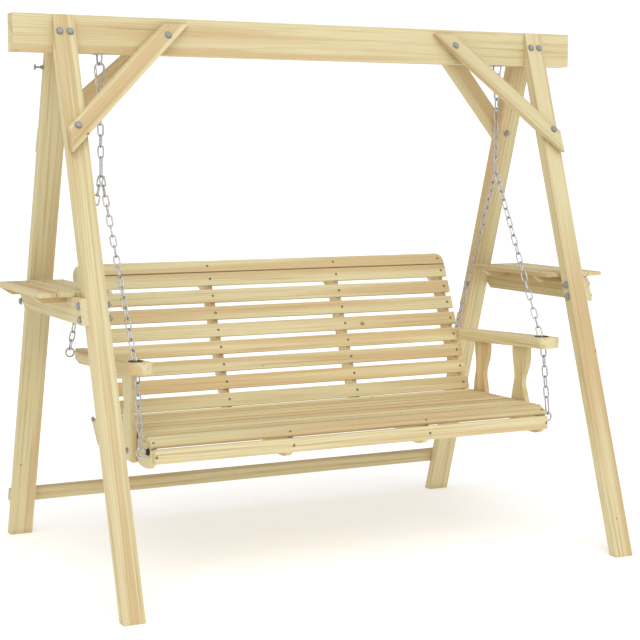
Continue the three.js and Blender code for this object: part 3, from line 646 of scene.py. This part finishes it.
def rail_outline():
    """The scrolled rail under the seat, with its nose cut to carry the nosing."""
    steep = math.tan(NOSE)
    heel = NOSE_AT + Vector((math.sin(NOSE), -math.cos(NOSE))) * SLAT
    under_nose = lambda y: heel.y + (y - heel.x) * steep - 0.36
    top = lambda y: seat_top(y) - SLAT - LAP
    nose_back = (top(0) - under_nose(0)) / (steep + SEAT_FALL)
    run = [
        (-376, -57), (-345, -79), (-300, -82), (-256, -78), (-190, -60), (-110, -45), (-30, -47),
        (50, -73), (105, -89), (148, -86), (179, -52),
    ]
    run = [(y, RAIL_TOP + z) for y, z in run]
    points = [(-376, under_nose(-376)), run[0]] + spline(run)
    return points + [(212, RAIL_TOP - 12), (213, top(213)), (nose_back, top(nose_back))]


def upright_outline():
    """The end upright, leaning with the back, its head rolled over to the rear."""
    front = SLAT_DEEP + 0.5
    back = front + UPRIGHT_DEEP
    at_level = lambda deep, z: on_back((z - on_back(0, deep).y) / UP.y, deep)
    crest = on_back(LAST + 5, 0) + TOP_UP * 47 + TOP_BEHIND * front
    curl = [(24, 3), (46, 0), (74, -8), (95, -22), (104, -43), (92, -65), (66, -76), (38, -91)]
    nape = at_level(back, crest.y - 118)
    head = [tuple(crest)] + [(crest.x + y, crest.y + z) for y, z in curl] + [tuple(nape)]
    points = [tuple(at_level(front, RAIL_TOP - 85)), tuple(on_back(LAST, front))]
    points += [tuple(crest)] + spline(head)
    heel, toe = at_level(back, RAIL_TOP - 54), Vector((150, RAIL_TOP - 85))
    corner = [tuple(heel), tuple(heel * 0.45 + toe * 0.55 + Vector((3.5, -3.0))), tuple(toe)]
    return points + [tuple(heel)] + spline(corner, 5)


def post_outline(middle, front, rear):
    """A square head, a shoulder, a long slim waist, and a foot that spreads again."""
    under = lambda y: arm_top(y) - ARM_DEEP - LAP
    fore = [(middle - out, RAIL_TOP + z) for z, out in front]
    aft = [(middle + out, RAIL_TOP + z) for z, out in rear]
    foot = RAIL_TOP - POST_FOOT
    points = [(fore[0][0], foot), (aft[0][0], foot), aft[0]] + spline(aft, 6)
    points += [(aft[-1][0], under(aft[-1][0])), (fore[-1][0], under(fore[-1][0])), fore[-1]]
    return points + spline(fore[::-1], 6)


def in_metres(points):
    return [(a * MM, b * MM) for a, b in points]


ARM_DEEP, POST_FOOT = 38.0, 77.0
print(len(rail_outline()), "points round a rail,", len(upright_outline()), "round an upright")

# %% [markdown]
# The boards are planks stood face to face, outwards from the middle: upright, rail, post. Post
# profiles are (height above the rails, distance from the post's middle line), front edge and then
# rear edge.


# %% Curved bench pieces
def side_on(y, z, x):
    return (x, y, z)


def curved_board(name, outline, inner, outer, finish, bevel=0.002):
    for side, sign in SIDES:
        part = prism(in_metres(outline), inner * MM, outer * MM, side_on)
        piece = mesh_object(f"{name}_{side}_board", *on_side(part, sign))
        keep(piece, "bench", "bench_wood", finishes[finish], f"{name}_{side}", bevel=bevel)


UPRIGHT_IN, RAIL_IN, POST_IN, POST_OUT = 691.5, 709.5, 727.5, 745.5
curved_board("seat_rail_end", rail_outline(), RAIL_IN, POST_IN, "rail")
curved_board("back_upright_end", upright_outline(), UPRIGHT_IN, RAIL_IN, "upright")
front_post = post_outline(
    -208,
    [(16, 39), (44, 29), (66, 20), (85, 17), (103, 22), (126, 33), (140, 40), (154, 44), (168, 46)],
    [(16, 54), (52, 46), (89, 36), (107, 36), (144, 43), (181, 50)],
)
rear_post = post_outline(
    52,
    [(13, 34), (44, 29), (64, 23), (82, 22), (100, 25), (122, 34), (136, 41), (150, 45), (164, 47)],
    [(13, 48), (49, 44), (85, 35), (103, 33), (139, 37), (172, 42)],
)
curved_board("front_post", front_post, POST_IN, POST_OUT, "post", 0.0025)
curved_board("rear_post", rear_post, POST_IN, POST_OUT, "post", 0.0025)
for side in "lr":
    finish_node("seat_rail_mid_" + side, finishes["rail"], 0.0015)
    finish_node("back_upright_mid_" + side, finishes["upright"], 0.0015)
print("rails, uprights and posts made")

# %% [markdown]
# The arm is a thick board, cut to a plan with rounded front corners and a taper behind, and tipped
# down a little to the rear. Its edges are routed to a wide radius.

# %% Arm shape
ARM_IN, ARM_OUT, ARM_FRONT, ARM_REAR = 709.5, 790.0, -372.0, 328.0
ARM_CORNER, GROMMET_Y = 25.0, -308.0


def arm_plan():
    """Seen from above: rounded in front, tapered behind, notched round the fourth back slat."""
    points = []
    for centre, start in ((ARM_IN + ARM_CORNER, math.pi), (ARM_OUT - ARM_CORNER, 1.5 * math.pi)):
        for k in range(9):
            a = start + k * math.pi / 16
            points.append((
                centre + ARM_CORNER * math.cos(a),
                ARM_FRONT + ARM_CORNER + ARM_CORNER * math.sin(a),
            ))
    points += [(ARM_OUT, 150.0), (749.2, 315.0), (746.8, 324.0), (740.0, ARM_REAR)]
    slat_y, notch_out = on_back(3 * SLAT_PITCH, SLAT_DEEP / 2).x, 724.0
    points += [
        (ARM_IN, ARM_REAR), (ARM_IN, slat_y + 21), (notch_out, slat_y + 21),
        (notch_out, slat_y - 22), (ARM_IN, slat_y - 22),
    ]
    return points


def tipped(a, b, d):
    """A point of the arm's plan, at a height over the arm's sloping top."""
    return (a * MM, b * MM, (arm_top(b) + d) * MM)


print(len(arm_plan()), "points round an arm")

# %% [markdown]
# The hole for the grommet is drilled before the edges are routed, as a joiner would. A cutter is
# taken away from the board, the result is kept as its mesh, and the bevel follows.

# %% Arms
for side, sign in SIDES:
    part = prism(arm_plan(), -ARM_DEEP, 0.0, tipped)
    piece = mesh_object(f"arm_{side}_board", *on_side(part, sign))
    keep(piece, "bench", "bench_wood", finishes["arm"], "arm_" + side)
    hole = []
    for k in range(40):
        a = 2 * math.pi * k / 40
        hole.append((750.95 + 16.3 * math.cos(a), GROMMET_Y + 23.3 * math.sin(a)))
    cutter = mesh_object("arm_cutter_" + side, *on_side(prism(hole, -45.0, 8.0, tipped), sign))
    through_hole = piece.modifiers.new("grommet_hole", "BOOLEAN")
    through_hole.object = cutter
    through_hole.operation = "DIFFERENCE"
    through_hole.solver = "EXACT"
    bpy.context.view_layer.update()
    cut_piece = piece.evaluated_get(bpy.context.evaluated_depsgraph_get())
    cut_mesh = bpy.data.meshes.new_from_object(cut_piece)
    piece.modifiers.clear()
    piece.data = cut_mesh
    bpy.data.objects.remove(cutter)
    ease(piece, 0.004, 4)
print("arms made")

# %% [markdown]
# ## Grommets
#
# A black moulded bush lines the hole where the chain goes down through each arm. It has a broad
# oval lip with a softly rounded rim. Its section is carried round an oval, which keeps the wall
# even where a scaled ring would thin it.

# %% Grommets
LIP = [
    (14.0, 21.0, -37.0), (14.0, 21.0, 1.2), (14.8, 21.8, 2.6), (16.2, 23.2, 3.3), (19.5, 26.0, 3.4),
    (21.8, 27.2, 2.7), (22.8, 27.9, 1.5), (22.9, 28.0, 0.3), (16.2, 23.2, 0.3), (16.0, 23.0, -37.0),
]  # half size across the arm, half size along it, height over the arm's top
HANG_X = 751.0
for side, sign in SIDES:
    verts, faces = [], []
    steps, rings = 48, len(LIP)
    for rx, ry, up_by in LIP:
        for k in range(steps):
            a = 2 * math.pi * k / steps
            y = GROMMET_Y + ry * math.sin(a)
            verts.append(tipped(HANG_X + rx * math.cos(a), y, up_by))
    for i in range(rings):
        for k in range(steps):
            a, b = i * steps + k, i * steps + (k + 1) % steps
            above = ((i + 1) % rings) * steps
            faces.append((a, above + k, above + (k + 1) % steps, b))
    piece = mesh_object(f"grommet_{side}_bush", *on_side((verts, faces), sign), smooth=True)
    keep(piece, "bench", "black_plastic", black_plastic, "grommet_" + side)
print("grommets made")

# %% [markdown]
# ## Chains
#
# Chain is bent from round wire, so a ring of points carried along a path makes it. A curve with a
# bevel would do as well, but a mesh written here keeps its seam closed and its count known.


# %% Bent wire
def swept(path, radius, sides=10, closed=False):
    """A round wire along a path, with domed ends if it is open."""
    count = len(path)
    points = [Vector(p) for p in path]
    verts, faces = [], []
    normal = None
    for i, here in enumerate(points):
        before = points[i - 1] if closed or i > 0 else here
        after = points[(i + 1) % count] if closed or i < count - 1 else here
        tangent = (after - before).normalized()
        if normal is None:
            helper = Vector((0.31, 0.82, 0.47))
            normal = (helper - tangent * helper.dot(tangent)).normalized()
        else:
            normal = (normal - tangent * normal.dot(tangent)).normalized()
        other = tangent.cross(normal)
        for k in range(sides):
            a = 2 * math.pi * k / sides
            verts.append(here + (normal * math.cos(a) + other * math.sin(a)) * radius)
    rings = count if closed else count - 1
    if closed:
        start, end = verts[:sides], verts[-sides:]
        first = min(range(sides), key=lambda s: (end[0] - start[s]).length)
    for i in range(rings):
        shift = first if closed and i == count - 1 else 0
        for k in range(sides):
            a, b = i * sides + k, i * sides + (k + 1) % sides
            c = ((i + 1) % count) * sides + (k + 1 + shift) % sides
            d = ((i + 1) % count) * sides + (k + shift) % sides
            faces.append((a, b, c, d))
    if not closed:
        for end, sign in ((0, -1), (count - 1, 1)):
            tangent = (points[end] - points[end - sign]).normalized()
            verts.append(points[end] + tangent * radius * 0.45)
            tip = len(verts) - 1
            for k in range(sides):
                a, b = end * sides + k, end * sides + (k + 1) % sides
                faces.append((b, a, tip) if sign < 0 else (a, b, tip))
    return verts, faces


def gather(parts):
    """Several lists of vertices and faces as one."""
    verts, faces = [], []
    for some_verts, some_faces in parts:
        offset = len(verts)
        verts += some_verts
        faces += [tuple(i + offset for i in face) for face in some_faces]
    return verts, faces


print("wire tools ready")

# %% [markdown]
# A long link has two straight sides and two half-round ends. Every link turns a quarter from its
# neighbour. The links sit where the model has them.


# %% Links
WIRE, LINK_WIDTH, LONG_LINK_WIDTH = 2.6, 22.5, 25.0


def link_path(middle, along, across_way, inside, width, wire=WIRE, steps=9):
    """The centre line of one link."""
    bend_radius = (width - 2 * wire) / 2
    straight = inside / 2 + wire - bend_radius
    path = []
    for end in (1, -1):
        for k in range(steps):
            a = -math.pi / 2 + math.pi * k / (steps - 1)
            u = end * (straight + bend_radius * math.cos(a))
            v = end * bend_radius * math.sin(a)
            path.append(middle + along * u + across_way * v)
    return path


def chain_part(stops, first_turn, last_turn, widths=None):
    """A wire link between each two stops, the first and the last turned as they have to hang."""
    count = len(stops) - 1
    unturned = first_turn + (count - 1) * 90
    left_over = (last_turn - unturned + 90) % 180 - 90
    parts = []
    for i in range(count):
        along = stops[i + 1] - stops[i]
        inside = along.length
        along.normalize()
        level = (Vector((0, 1, 0)) - along * along.y).normalized()
        turn = math.radians(first_turn + i * 90 + left_over * i / (count - 1))
        across_way = Matrix.Rotation(turn, 3, along) @ level
        middle = (stops[i] + stops[i + 1]) / 2
        width = (widths or {}).get(i, LINK_WIDTH)
        path = link_path(middle, along, across_way, inside - 0.2, width)
        parts.append(swept([p * MM for p in path], WIRE * MM, 10, closed=True))
    return parts


def run_of(a, b, pitch=35.0):
    count = round((b - a).length / pitch)
    return [a.lerp(b, (i + 1) / count) for i in range(count)]


print("links", 2 * WIRE, "mm thick and", LINK_WIDTH, "mm wide")

# %% [markdown]
# The upper chain ends in a long link at SPLIT, where a front chain runs to the arm and then to its
# eye bolt, and a rear chain runs to a screw eye in the arm's edge.

# %% Chain runs
LOOP_BOTTOM, LOOP_WIRE = 1643.0, 6.0
SPLIT, LONG_LINK = 1291.5, 61.5
hook_top = LOOP_BOTTOM + LOOP_WIRE + 0.4
hook_bottom = hook_top - 86.4
top_stop = Vector((HANG_X, 0, hook_bottom))
hanger_stops = [top_stop] + run_of(top_stop, Vector((HANG_X, 0, SPLIT + LONG_LINK)))
hanger_stops.append(Vector((HANG_X, 0, SPLIT)))
hanger = chain_part(hanger_stops, 0, 0, {len(hanger_stops) - 2: LONG_LINK_WIDTH})

front_stops = [Vector((HANG_X, -4.1, SPLIT + 1.6))]
bend_at = Vector((HANG_X, -317.0, arm_top(GROMMET_Y) - 31.0))
EYE = Vector((752.0, -350.0, RAIL_TOP - 25.5))
eye_top = EYE + Vector((0, 0, 11.5 - 0.7))
last_link = (eye_top - bend_at).normalized() * 58
front_stops += run_of(front_stops[0], bend_at)
front_stops += run_of(bend_at, eye_top - last_link) + [eye_top]
rear_eye = Vector((790.0 - 44.0 * 150.0 / 178.0 + 19.5, 300.0, RAIL_TOP + 213.0))
rear_stops = [Vector((HANG_X, 4.1, SPLIT + 1.6))]
rear_stops += run_of(rear_stops[0], rear_eye + Vector((0, 0, 11.5)))
front_links = chain_part(front_stops, 90, 0)
rear_links = chain_part(rear_stops, 90, 0)
print(len(hanger), len(front_links), len(rear_links), "links a side")

# %% [markdown]
# Screw eyes and eye bolts are a wire ring on a shank. Both are bent from the same wire here.


# %% Eyes
def eye_parts(centre, shank_from, shank_to):
    """A wire ring facing along the swing, on a shank that runs inwards."""
    ring = []
    for k in range(32):
        a = 2 * math.pi * k / 32
        ring.append((centre + Vector((math.cos(a), 0, math.sin(a))) * 14.5) * MM)
    stops = (shank_from, (shank_from + shank_to) / 2, shank_to)
    shank = [Vector((x, centre.y, centre.z)) * MM for x in stops]
    return [swept(ring, 3.0 * MM, 12, closed=True), swept(shank, 3.5 * MM, 12)]


rear_eye_parts = eye_parts(rear_eye, rear_eye.x - 15.5, rear_eye.x - 19.5 - 22)
print("rear eyes at", [round(v, 1) for v in rear_eye])

# %% [markdown]
# The snap hook is bent from thicker wire to a pear shape with its wide end up. A thin sprung gate
# with a pin closes its side.


# %% Snap hooks
def snap_hook():
    wide, narrow, wire = 14.5, 8.6, 3.5
    top, bottom = hook_top + wire - wide, hook_bottom - wire + narrow
    path = []
    for k in range(15):
        a = math.pi * k / 14
        path.append(Vector((HANG_X + wide * math.cos(a), 0, top + wide * math.sin(a))))
    for k in range(11):
        a = math.pi + math.pi * k / 10
        path.append(Vector((HANG_X + narrow * math.cos(a), 0, bottom + narrow * math.sin(a))))
    closed = swept([p * MM for p in path], wire * MM, 12, closed=True)
    low, high = bottom + 14, top - 6
    edge = lambda z: narrow + (wide - narrow) * (z - bottom) / (top - bottom)
    gate = [Vector((HANG_X + edge(z), 0, z)) * MM for z in (low, (low + high) / 2, high)]
    pin = [Vector((HANG_X + edge(low + 5), y, low + 5)) * MM for y in (-5.6, 0, 5.6)]
    return [closed, swept(gate, 4.3 * MM, 12), swept(pin, 1.6 * MM, 8)]


for side, sign in SIDES:
    for name, parts, node_name, body in (
        ("hanger_links", hanger, None, "hangers"),
        ("snap_hook", snap_hook(), "hanger_chain_", "hangers"),
        ("front_chain_links", front_links, "front_chain_", "bench"),
        ("rear_chain_links", rear_links + rear_eye_parts, "rear_chain_", "bench"),
    ):
        piece = mesh_object(f"{name}_{side}", *on_side(gather(parts), sign), smooth=True)
        keep(piece, body, "steel", zinc, *([node_name + side] if node_name else []))
print("chains and snap hooks made")

# %% [markdown]
# ## Hook plates
#
# Under the beam a small steel plate holds a welded loop of round wire.


# %% Hook plates
def round_rectangle(x, y, half_x, half_y, radius, steps=5):
    points = []
    for cx, cy, start in ((1, 1, 0), (-1, 1, 1), (-1, -1, 2), (1, -1, 3)):
        for k in range(steps):
            a = (start + k / (steps - 1)) * math.pi / 2
            points.append((
                x + cx * (half_x - radius) + radius * math.cos(a),
                y + cy * (half_y - radius) + radius * math.sin(a),
            ))
    return points


LOOP_BEND, LOOP_MIDDLE, LOOP_TOP = 24.0, 1670.0, 1680.0
PLATE_UNDER, PLATE_TOP = 1679.0, 1682.0
loop_path = [Vector((HANG_X, -LOOP_BEND, LOOP_TOP))]
for k in range(17):
    a = math.pi + math.pi * k / 16
    y, z = LOOP_BEND * math.cos(a), LOOP_MIDDLE + LOOP_BEND * math.sin(a)
    loop_path.append(Vector((HANG_X, y, z)))
loop_path.append(Vector((HANG_X, LOOP_BEND, LOOP_TOP)))
plate_outline = round_rectangle(HANG_X, 0, 14, 28, 5)
for side, sign in SIDES:
    plate = prism(
        plate_outline, PLATE_UNDER, PLATE_TOP, lambda a, b, d: (a * MM, b * MM, d * MM)
    )
    piece = mesh_object(f"hook_plate_{side}_plate", *on_side(plate, sign))
    keep(piece, "stand", "steel", zinc, "hook_plate_" + side, bevel=0.0006)
    wire = swept([p * MM for p in loop_path], LOOP_WIRE / 2 * MM, 12)
    piece = mesh_object(f"hook_plate_{side}_loop", *on_side(wire, sign), smooth=True)
    keep(piece, "stand", "steel", zinc)
print("hook plates made")

# %% [markdown]
# ## Bolts, nuts and washers
#
# The stand is held by hexagon-head bolts with washers, and nuts on the far side. Washer, head and
# stud are all even round one axis, so a profile spun round it makes each; six steps round give a
# hexagon, with its corners turned away at the top.


# %% Bolt shapes
def turned(profile, count, at, axis):
    """A profile of (radius, height) pairs spun round an axis; it starts and ends on the axis."""
    axis = Vector(axis).normalized()
    turn = axis.to_track_quat("Z", "Y")
    verts, faces, rings = [], [], []
    for radius, height in profile:
        ring = []
        steps = 1 if radius == 0 else count
        for k in range(steps):
            a = 2 * math.pi * (k + 0.5) / count
            local = Vector((radius * math.cos(a), radius * math.sin(a), height))
            verts.append(Vector(at) + turn @ local)
            ring.append(len(verts) - 1)
        rings.append(ring)
    for low, high in zip(rings, rings[1:]):
        for k in range(count):
            a, b = low[k % len(low)], low[(k + 1) % len(low)]
            c, d = high[(k + 1) % len(high)], high[k % len(high)]
            corners = [v for i, v in enumerate((a, b, c, d)) if v not in (a, b, c, d)[:i]]
            if len(corners) > 2:
                faces.append(tuple(corners))
    return verts, faces


def bolt_head(at, axis, flats=17.0, high=6.0, washer=24.0):
    """A hexagon head on a round washer; sizes in millimetres."""
    across = flats / math.cos(math.pi / 6) / 2
    at, axis = Vector(at) * MM, Vector(axis).normalized()
    disc = turned(
        [(0, -0.5 * MM), (washer / 2 * MM, -0.5 * MM), (washer / 2 * MM, 1.2 * MM),
         ((washer / 2 - 0.6) * MM, 1.8 * MM), (0, 1.8 * MM)], 24, at, axis,
    )
    hexagon = turned(
        [(0, 1.5 * MM), (across * MM, 1.5 * MM), (across * MM, (high + 0.3) * MM),
         (across * 0.93 * MM, (high + 1.5) * MM), (across * 0.80 * MM, (high + 1.9) * MM),
         (0, (high + 2.0) * MM)], 6, at, axis,
    )
    return [disc, hexagon]


def bolt_end(at, axis, flats=17.0, tail=7.0, washer=24.0):
    """A nut on a washer with the bolt's end standing out of it."""
    at, way = Vector(at), Vector(axis).normalized()
    stud = turned(
        [(0, 0), (3.9 * MM, 0), (3.9 * MM, (8 + tail) * MM), (3.2 * MM, (9 + tail) * MM),
         (0, (9 + tail) * MM)], 14, at * MM, way,
    )
    return bolt_head(at, way, flats, 6.0, washer) + [stud]


print("bolt heads and ends ready")

# %% [markdown]
# Places are for the right-hand side. Each is on the outer or inner face of its leg, brace or rail.

# %% Bolts of the stand
BIG_WASHER = 25
STUD_Z, STRETCHER_Z, BRACE_NUT_Z = 1640, 138, 1441
RAIL_BOLTS = ((-318, 907), (-331, 867), (320, 869))
OUTWARDS, INWARDS = (1, 0, 0), (-1, 0, 0)
leg_y = lambda z: 635.5 - LEG_SLOPE * z
inner_y = lambda z: 596.5 - LEG_SLOPE * z
brace_y = lambda z: 46 + 0.3935 * (1782.5 - z)
leg_out = Vector((0, math.cos(LEG), math.sin(LEG)))
brace_out = Vector((0, math.cos(BRACE), math.sin(BRACE)))
facing_front = lambda way, x=0: (x, -way.y, way.z)
stand_bolts = {}
for x in (862, 896):
    at = Vector((x, leg_y(1746), 1746))
    stand_bolts[f"leg_top_front_{x}"] = bolt_head(
        facing_front(at, x), facing_front(leg_out), washer=BIG_WASHER
    )
    stand_bolts[f"leg_top_rear_{x}"] = bolt_end(at, leg_out, tail=4)
for x, z in ((538.5, 1744.5), (880.3, 1452.4)):
    y, label = brace_y(z), int(x)
    stand_bolts[f"brace_front_{label}"] = bolt_head(
        (x, -y, z), facing_front(brace_out), washer=BIG_WASHER
    )
    stand_bolts[f"brace_rear_{label}"] = bolt_head((x, y, z), brace_out, washer=BIG_WASHER)
nut_y = inner_y(BRACE_NUT_Z)
stand_bolts["brace_rear_nut"] = bolt_end((870, nut_y, BRACE_NUT_Z), -leg_out, tail=3)
stand_bolts["brace_front_nut"] = bolt_end(
    (879, -nut_y, BRACE_NUT_Z), (0, leg_out.y, -leg_out.z), tail=3
)
stud_at = Vector((913, leg_y(STUD_Z) - 8, STUD_Z))
stud_end = [(0, 12), (3, 12), (3, 24), (9, 25), (9, 29), (0, 30)]
stand_bolts["rear_leg_stud"] = bolt_end(stud_at, OUTWARDS, flats=12, tail=4, washer=13) + [
    turned(in_metres(stud_end), 12, stud_at * MM, OUTWARDS)
]
for y, z in RAIL_BOLTS:
    label = f"{y}".replace("-", "m")
    stand_bolts["tray_rail_" + label] = bolt_head((933, y, z), OUTWARDS, washer=BIG_WASHER)
    inner = 842 if y < 0 else 830
    stand_bolts["tray_nut_" + label] = bolt_end(
        (inner, y, z), INWARDS, tail=3, washer=BIG_WASHER
    )
stretcher_at = Vector((873, leg_y(STRETCHER_Z), STRETCHER_Z)) + leg_out * 28.4
stand_bolts["stretcher_bolt"] = bolt_head(stretcher_at, leg_out, washer=BIG_WASHER)
print(len(stand_bolts), "bolt heads and ends on each side of the stand")

# %% [markdown]
# Thinner bolts hold the bench's boards together where they cross. Two of the stand's pieces are
# fitted on one side only.


# %% Bolts of the bench
def small_bolt(x, y, z):
    return bolt_head((x, y, z), OUTWARDS, flats=13, high=5, washer=19)


def small_nut(x, y, z):
    return bolt_end((x, y, z), INWARDS, flats=13, tail=3, washer=19)


MID_OUT, MID_IN = 260.5, 242.5
bench_bolts = {
    "front_post_bolt": small_bolt(POST_OUT, -204, 431),
    "rear_post_bolt": small_bolt(POST_OUT, 52, 431),
    "upright_bolt": small_bolt(POST_IN, 190, 470),
    "upright_nut": small_nut(UPRIGHT_IN, 190, 470),
    "front_post_nut": small_nut(RAIL_IN, -204, 431),
    "rear_post_nut": small_nut(RAIL_IN, 52, 431),
    "mid_lap_bolt": small_bolt(MID_OUT, 142, 432),
    "mid_lap_nut": small_nut(MID_IN, 142, 432),
}
ONE_SIDED = ("brace_rear_nut_l", "rear_leg_stud_r")
for body, listed in (("stand", stand_bolts), ("bench", bench_bolts)):
    for name, parts in listed.items():
        for side, sign in SIDES:
            if f"{name}_{side}" in ONE_SIDED:
                continue
            piece = mesh_object(f"bolt_{name}_{side}", *on_side(gather(parts), sign))
            keep(piece, body, "steel", dull_zinc, bevel=0.0004, segments=1)
print(len(stand_bolts) + len(bench_bolts), "bolts a side")

# %% [markdown]
# The front eye bolts pass through the end rails, with a washer and a black-finished nut on the
# outside, where the chain pulls, and a nut inside.

# %% Eye bolts
eye_ring = eye_parts(EYE, EYE.x - 13.5, 698.6)
eye_nuts = bolt_head((727.7, EYE.y, EYE.z), (1, 0, 0), 16, 8, 24)
inner_nut = bolt_head((709.3, EYE.y, EYE.z), (-1, 0, 0), 14, 7, 20)
for side, sign in SIDES:
    for name, parts, material, replaced in (
        ("eye_bolt_ring", eye_ring, zinc, ["eye_bolt_" + side]),
        ("eye_bolt_outer_nut", eye_nuts, black_plastic, []),
        ("eye_bolt_inner_nut", inner_nut, zinc, []),
    ):
        part = on_side(gather(parts), sign)
        piece = mesh_object(f"{name}_{side}", *part, smooth=name.endswith("ring"))
        keep(piece, "bench", "steel", material, *replaced)
print("eye bolts made")

# %% [markdown]
# ## Wood screws
#
# Back slats, nosing, apron and tray boards are screwed on with dark countersunk screws, and the
# seat slats are screwed from below. A head is a shallow disc with a recess in the middle, set
# level with the wood.


# %% Screw shapes
def screw(at, axis, head=4.6):
    """A screw's head, whose underside sits in the wood; head is its radius."""
    profile = [
        (0, -0.8), (head - 1.2, -0.8), (head, 0.05), (head - 0.3, 0.35), (head - 1.6, 0.30),
        (1.9, 0.28), (1.3, -0.5), (0, -0.6),
    ]
    return turned(in_metres(profile), 16, Vector(at) * MM, axis)


def screw_row(name, body, xs, y, z, axis):
    parts = [screw((x, y, z), axis) for x in xs]
    piece = mesh_object(name, *gather(parts))
    keep(piece, body, "steel", dark_steel)


print("screw heads ready")

# %% [markdown]
# Screws go in a row along each board, one over every upright, rail or cleat that it crosses.

# %% Wood screws
UPRIGHT_LINES = (-701, -251.5, 251.5, 701)
RAIL_LINES = (-717, -251.5, 251.5, 717)
for i in range(BACK_SLATS - 1):
    middle, out = on_back(i * SLAT_PITCH, 0), (0, -BEHIND.x, -BEHIND.y)
    screw_row(f"back_slat_{i + 1}_screws", "bench", UPRIGHT_LINES, middle.x, middle.y, out)
middle, out = on_back(LAST + 5, 0) + TOP_UP * 23.5, (0, -TOP_BEHIND.x, -TOP_BEHIND.y)
screw_row("back_slat_9_screws", "bench", UPRIGHT_LINES, middle.x, middle.y, out)
nose_at = NOSE_AT - Vector((math.cos(NOSE), math.sin(NOSE))) * 35
nose_out = (0, -math.sin(NOSE), math.cos(NOSE))
screw_row("nosing_screws", "bench", RAIL_LINES, nose_at.x, nose_at.y, nose_out)
screw_row("apron_screws", "bench", RAIL_LINES, -394.0, 437.7, (0, -1, 0))
for side, sign in SIDES:
    parts = []
    for i in range(4):
        x = sign * (TRAY_IN + (i + 0.5) * board_width + i * BOARD_GAP) / MM
        for y in (-CLEAT_Y / MM, CLEAT_Y / MM):
            parts.append(screw((x, y, TRAY_TOP / MM), (0, 0, 1)))
    keep(mesh_object(f"tray_screws_{side}", *gather(parts)), "stand", "steel", dark_steel)
print("wood screws made")

# %% [markdown]
# ## Floor and light
#
# The swing stands in a plain studio, on a pale floor that runs out of sight. The floor glows with a
# little light of its own, painted light that washes out its shadows and keeps it white.

# %% Floor
REACH = 60
floor_corners = [(-REACH, -REACH, 0), (REACH, -REACH, 0), (REACH, REACH, 0), (-REACH, REACH, 0)]
floor = mesh_object("studio_floor", floor_corners, [(0, 1, 2, 3)])
floor_material = bpy.data.materials.new("studio_floor")
floor_material.use_nodes = True
floor_surface = floor_material.node_tree.nodes["Principled BSDF"]
floor_surface.inputs["Base Color"].default_value = (0.93, 0.93, 0.93, 1.0)
floor_surface.inputs["Roughness"].default_value = 0.9
# Emission makes the floor glow: painted light that lifts the shadows on it.
floor_surface.inputs["Emission Color"].default_value = (1.0, 1.0, 1.0, 1.0)
floor_surface.inputs["Emission Strength"].default_value = 0.28
floor_surface.inputs["Specular IOR Level"].default_value = 0.1
floor.data.materials.append(floor_material)
print("floor laid")

# %% [markdown]
# A white surround lights every side, and one broad soft light from the front left and above gives
# the shadows a direction. What the camera sees of the surround is brighter than what lights the
# wood, so that the backdrop stays white without bleaching the timber.


# %% Surround and light
world = bpy.data.worlds.new("studio")
bpy.context.scene.world = world
world.use_nodes = True
sky = world.node_tree
background = sky.nodes["Background"]
background.inputs["Color"].default_value = (1.0, 1.0, 1.0, 1.0)
seen = node(sky, "LightPath").outputs["Is Camera Ray"]
sky.links.new(maths(sky, "MULTIPLY_ADD", seen, 0.45, 0.67), background.inputs["Strength"])


def sun(name, direction, strength, spread, colour=(1.0, 1.0, 1.0)):
    light = bpy.data.lights.new(name, "SUN")
    light.energy = strength
    light.angle = math.radians(spread)
    light.color = colour
    made = bpy.data.objects.new(name, light)
    bpy.context.scene.collection.objects.link(made)
    made.rotation_mode = "QUATERNION"
    made.rotation_quaternion = Vector(direction).to_track_quat("-Z", "Y")
    made.location = (0, 0, 4)
    return made


sun("key_light", (0.22, 0.60, -0.77), 1.18, 50, (1.0, 0.99, 0.97))
bpy.context.scene.view_settings.view_transform = "Standard"
bpy.context.scene.view_settings.look = "None"
print("surround and key light set")
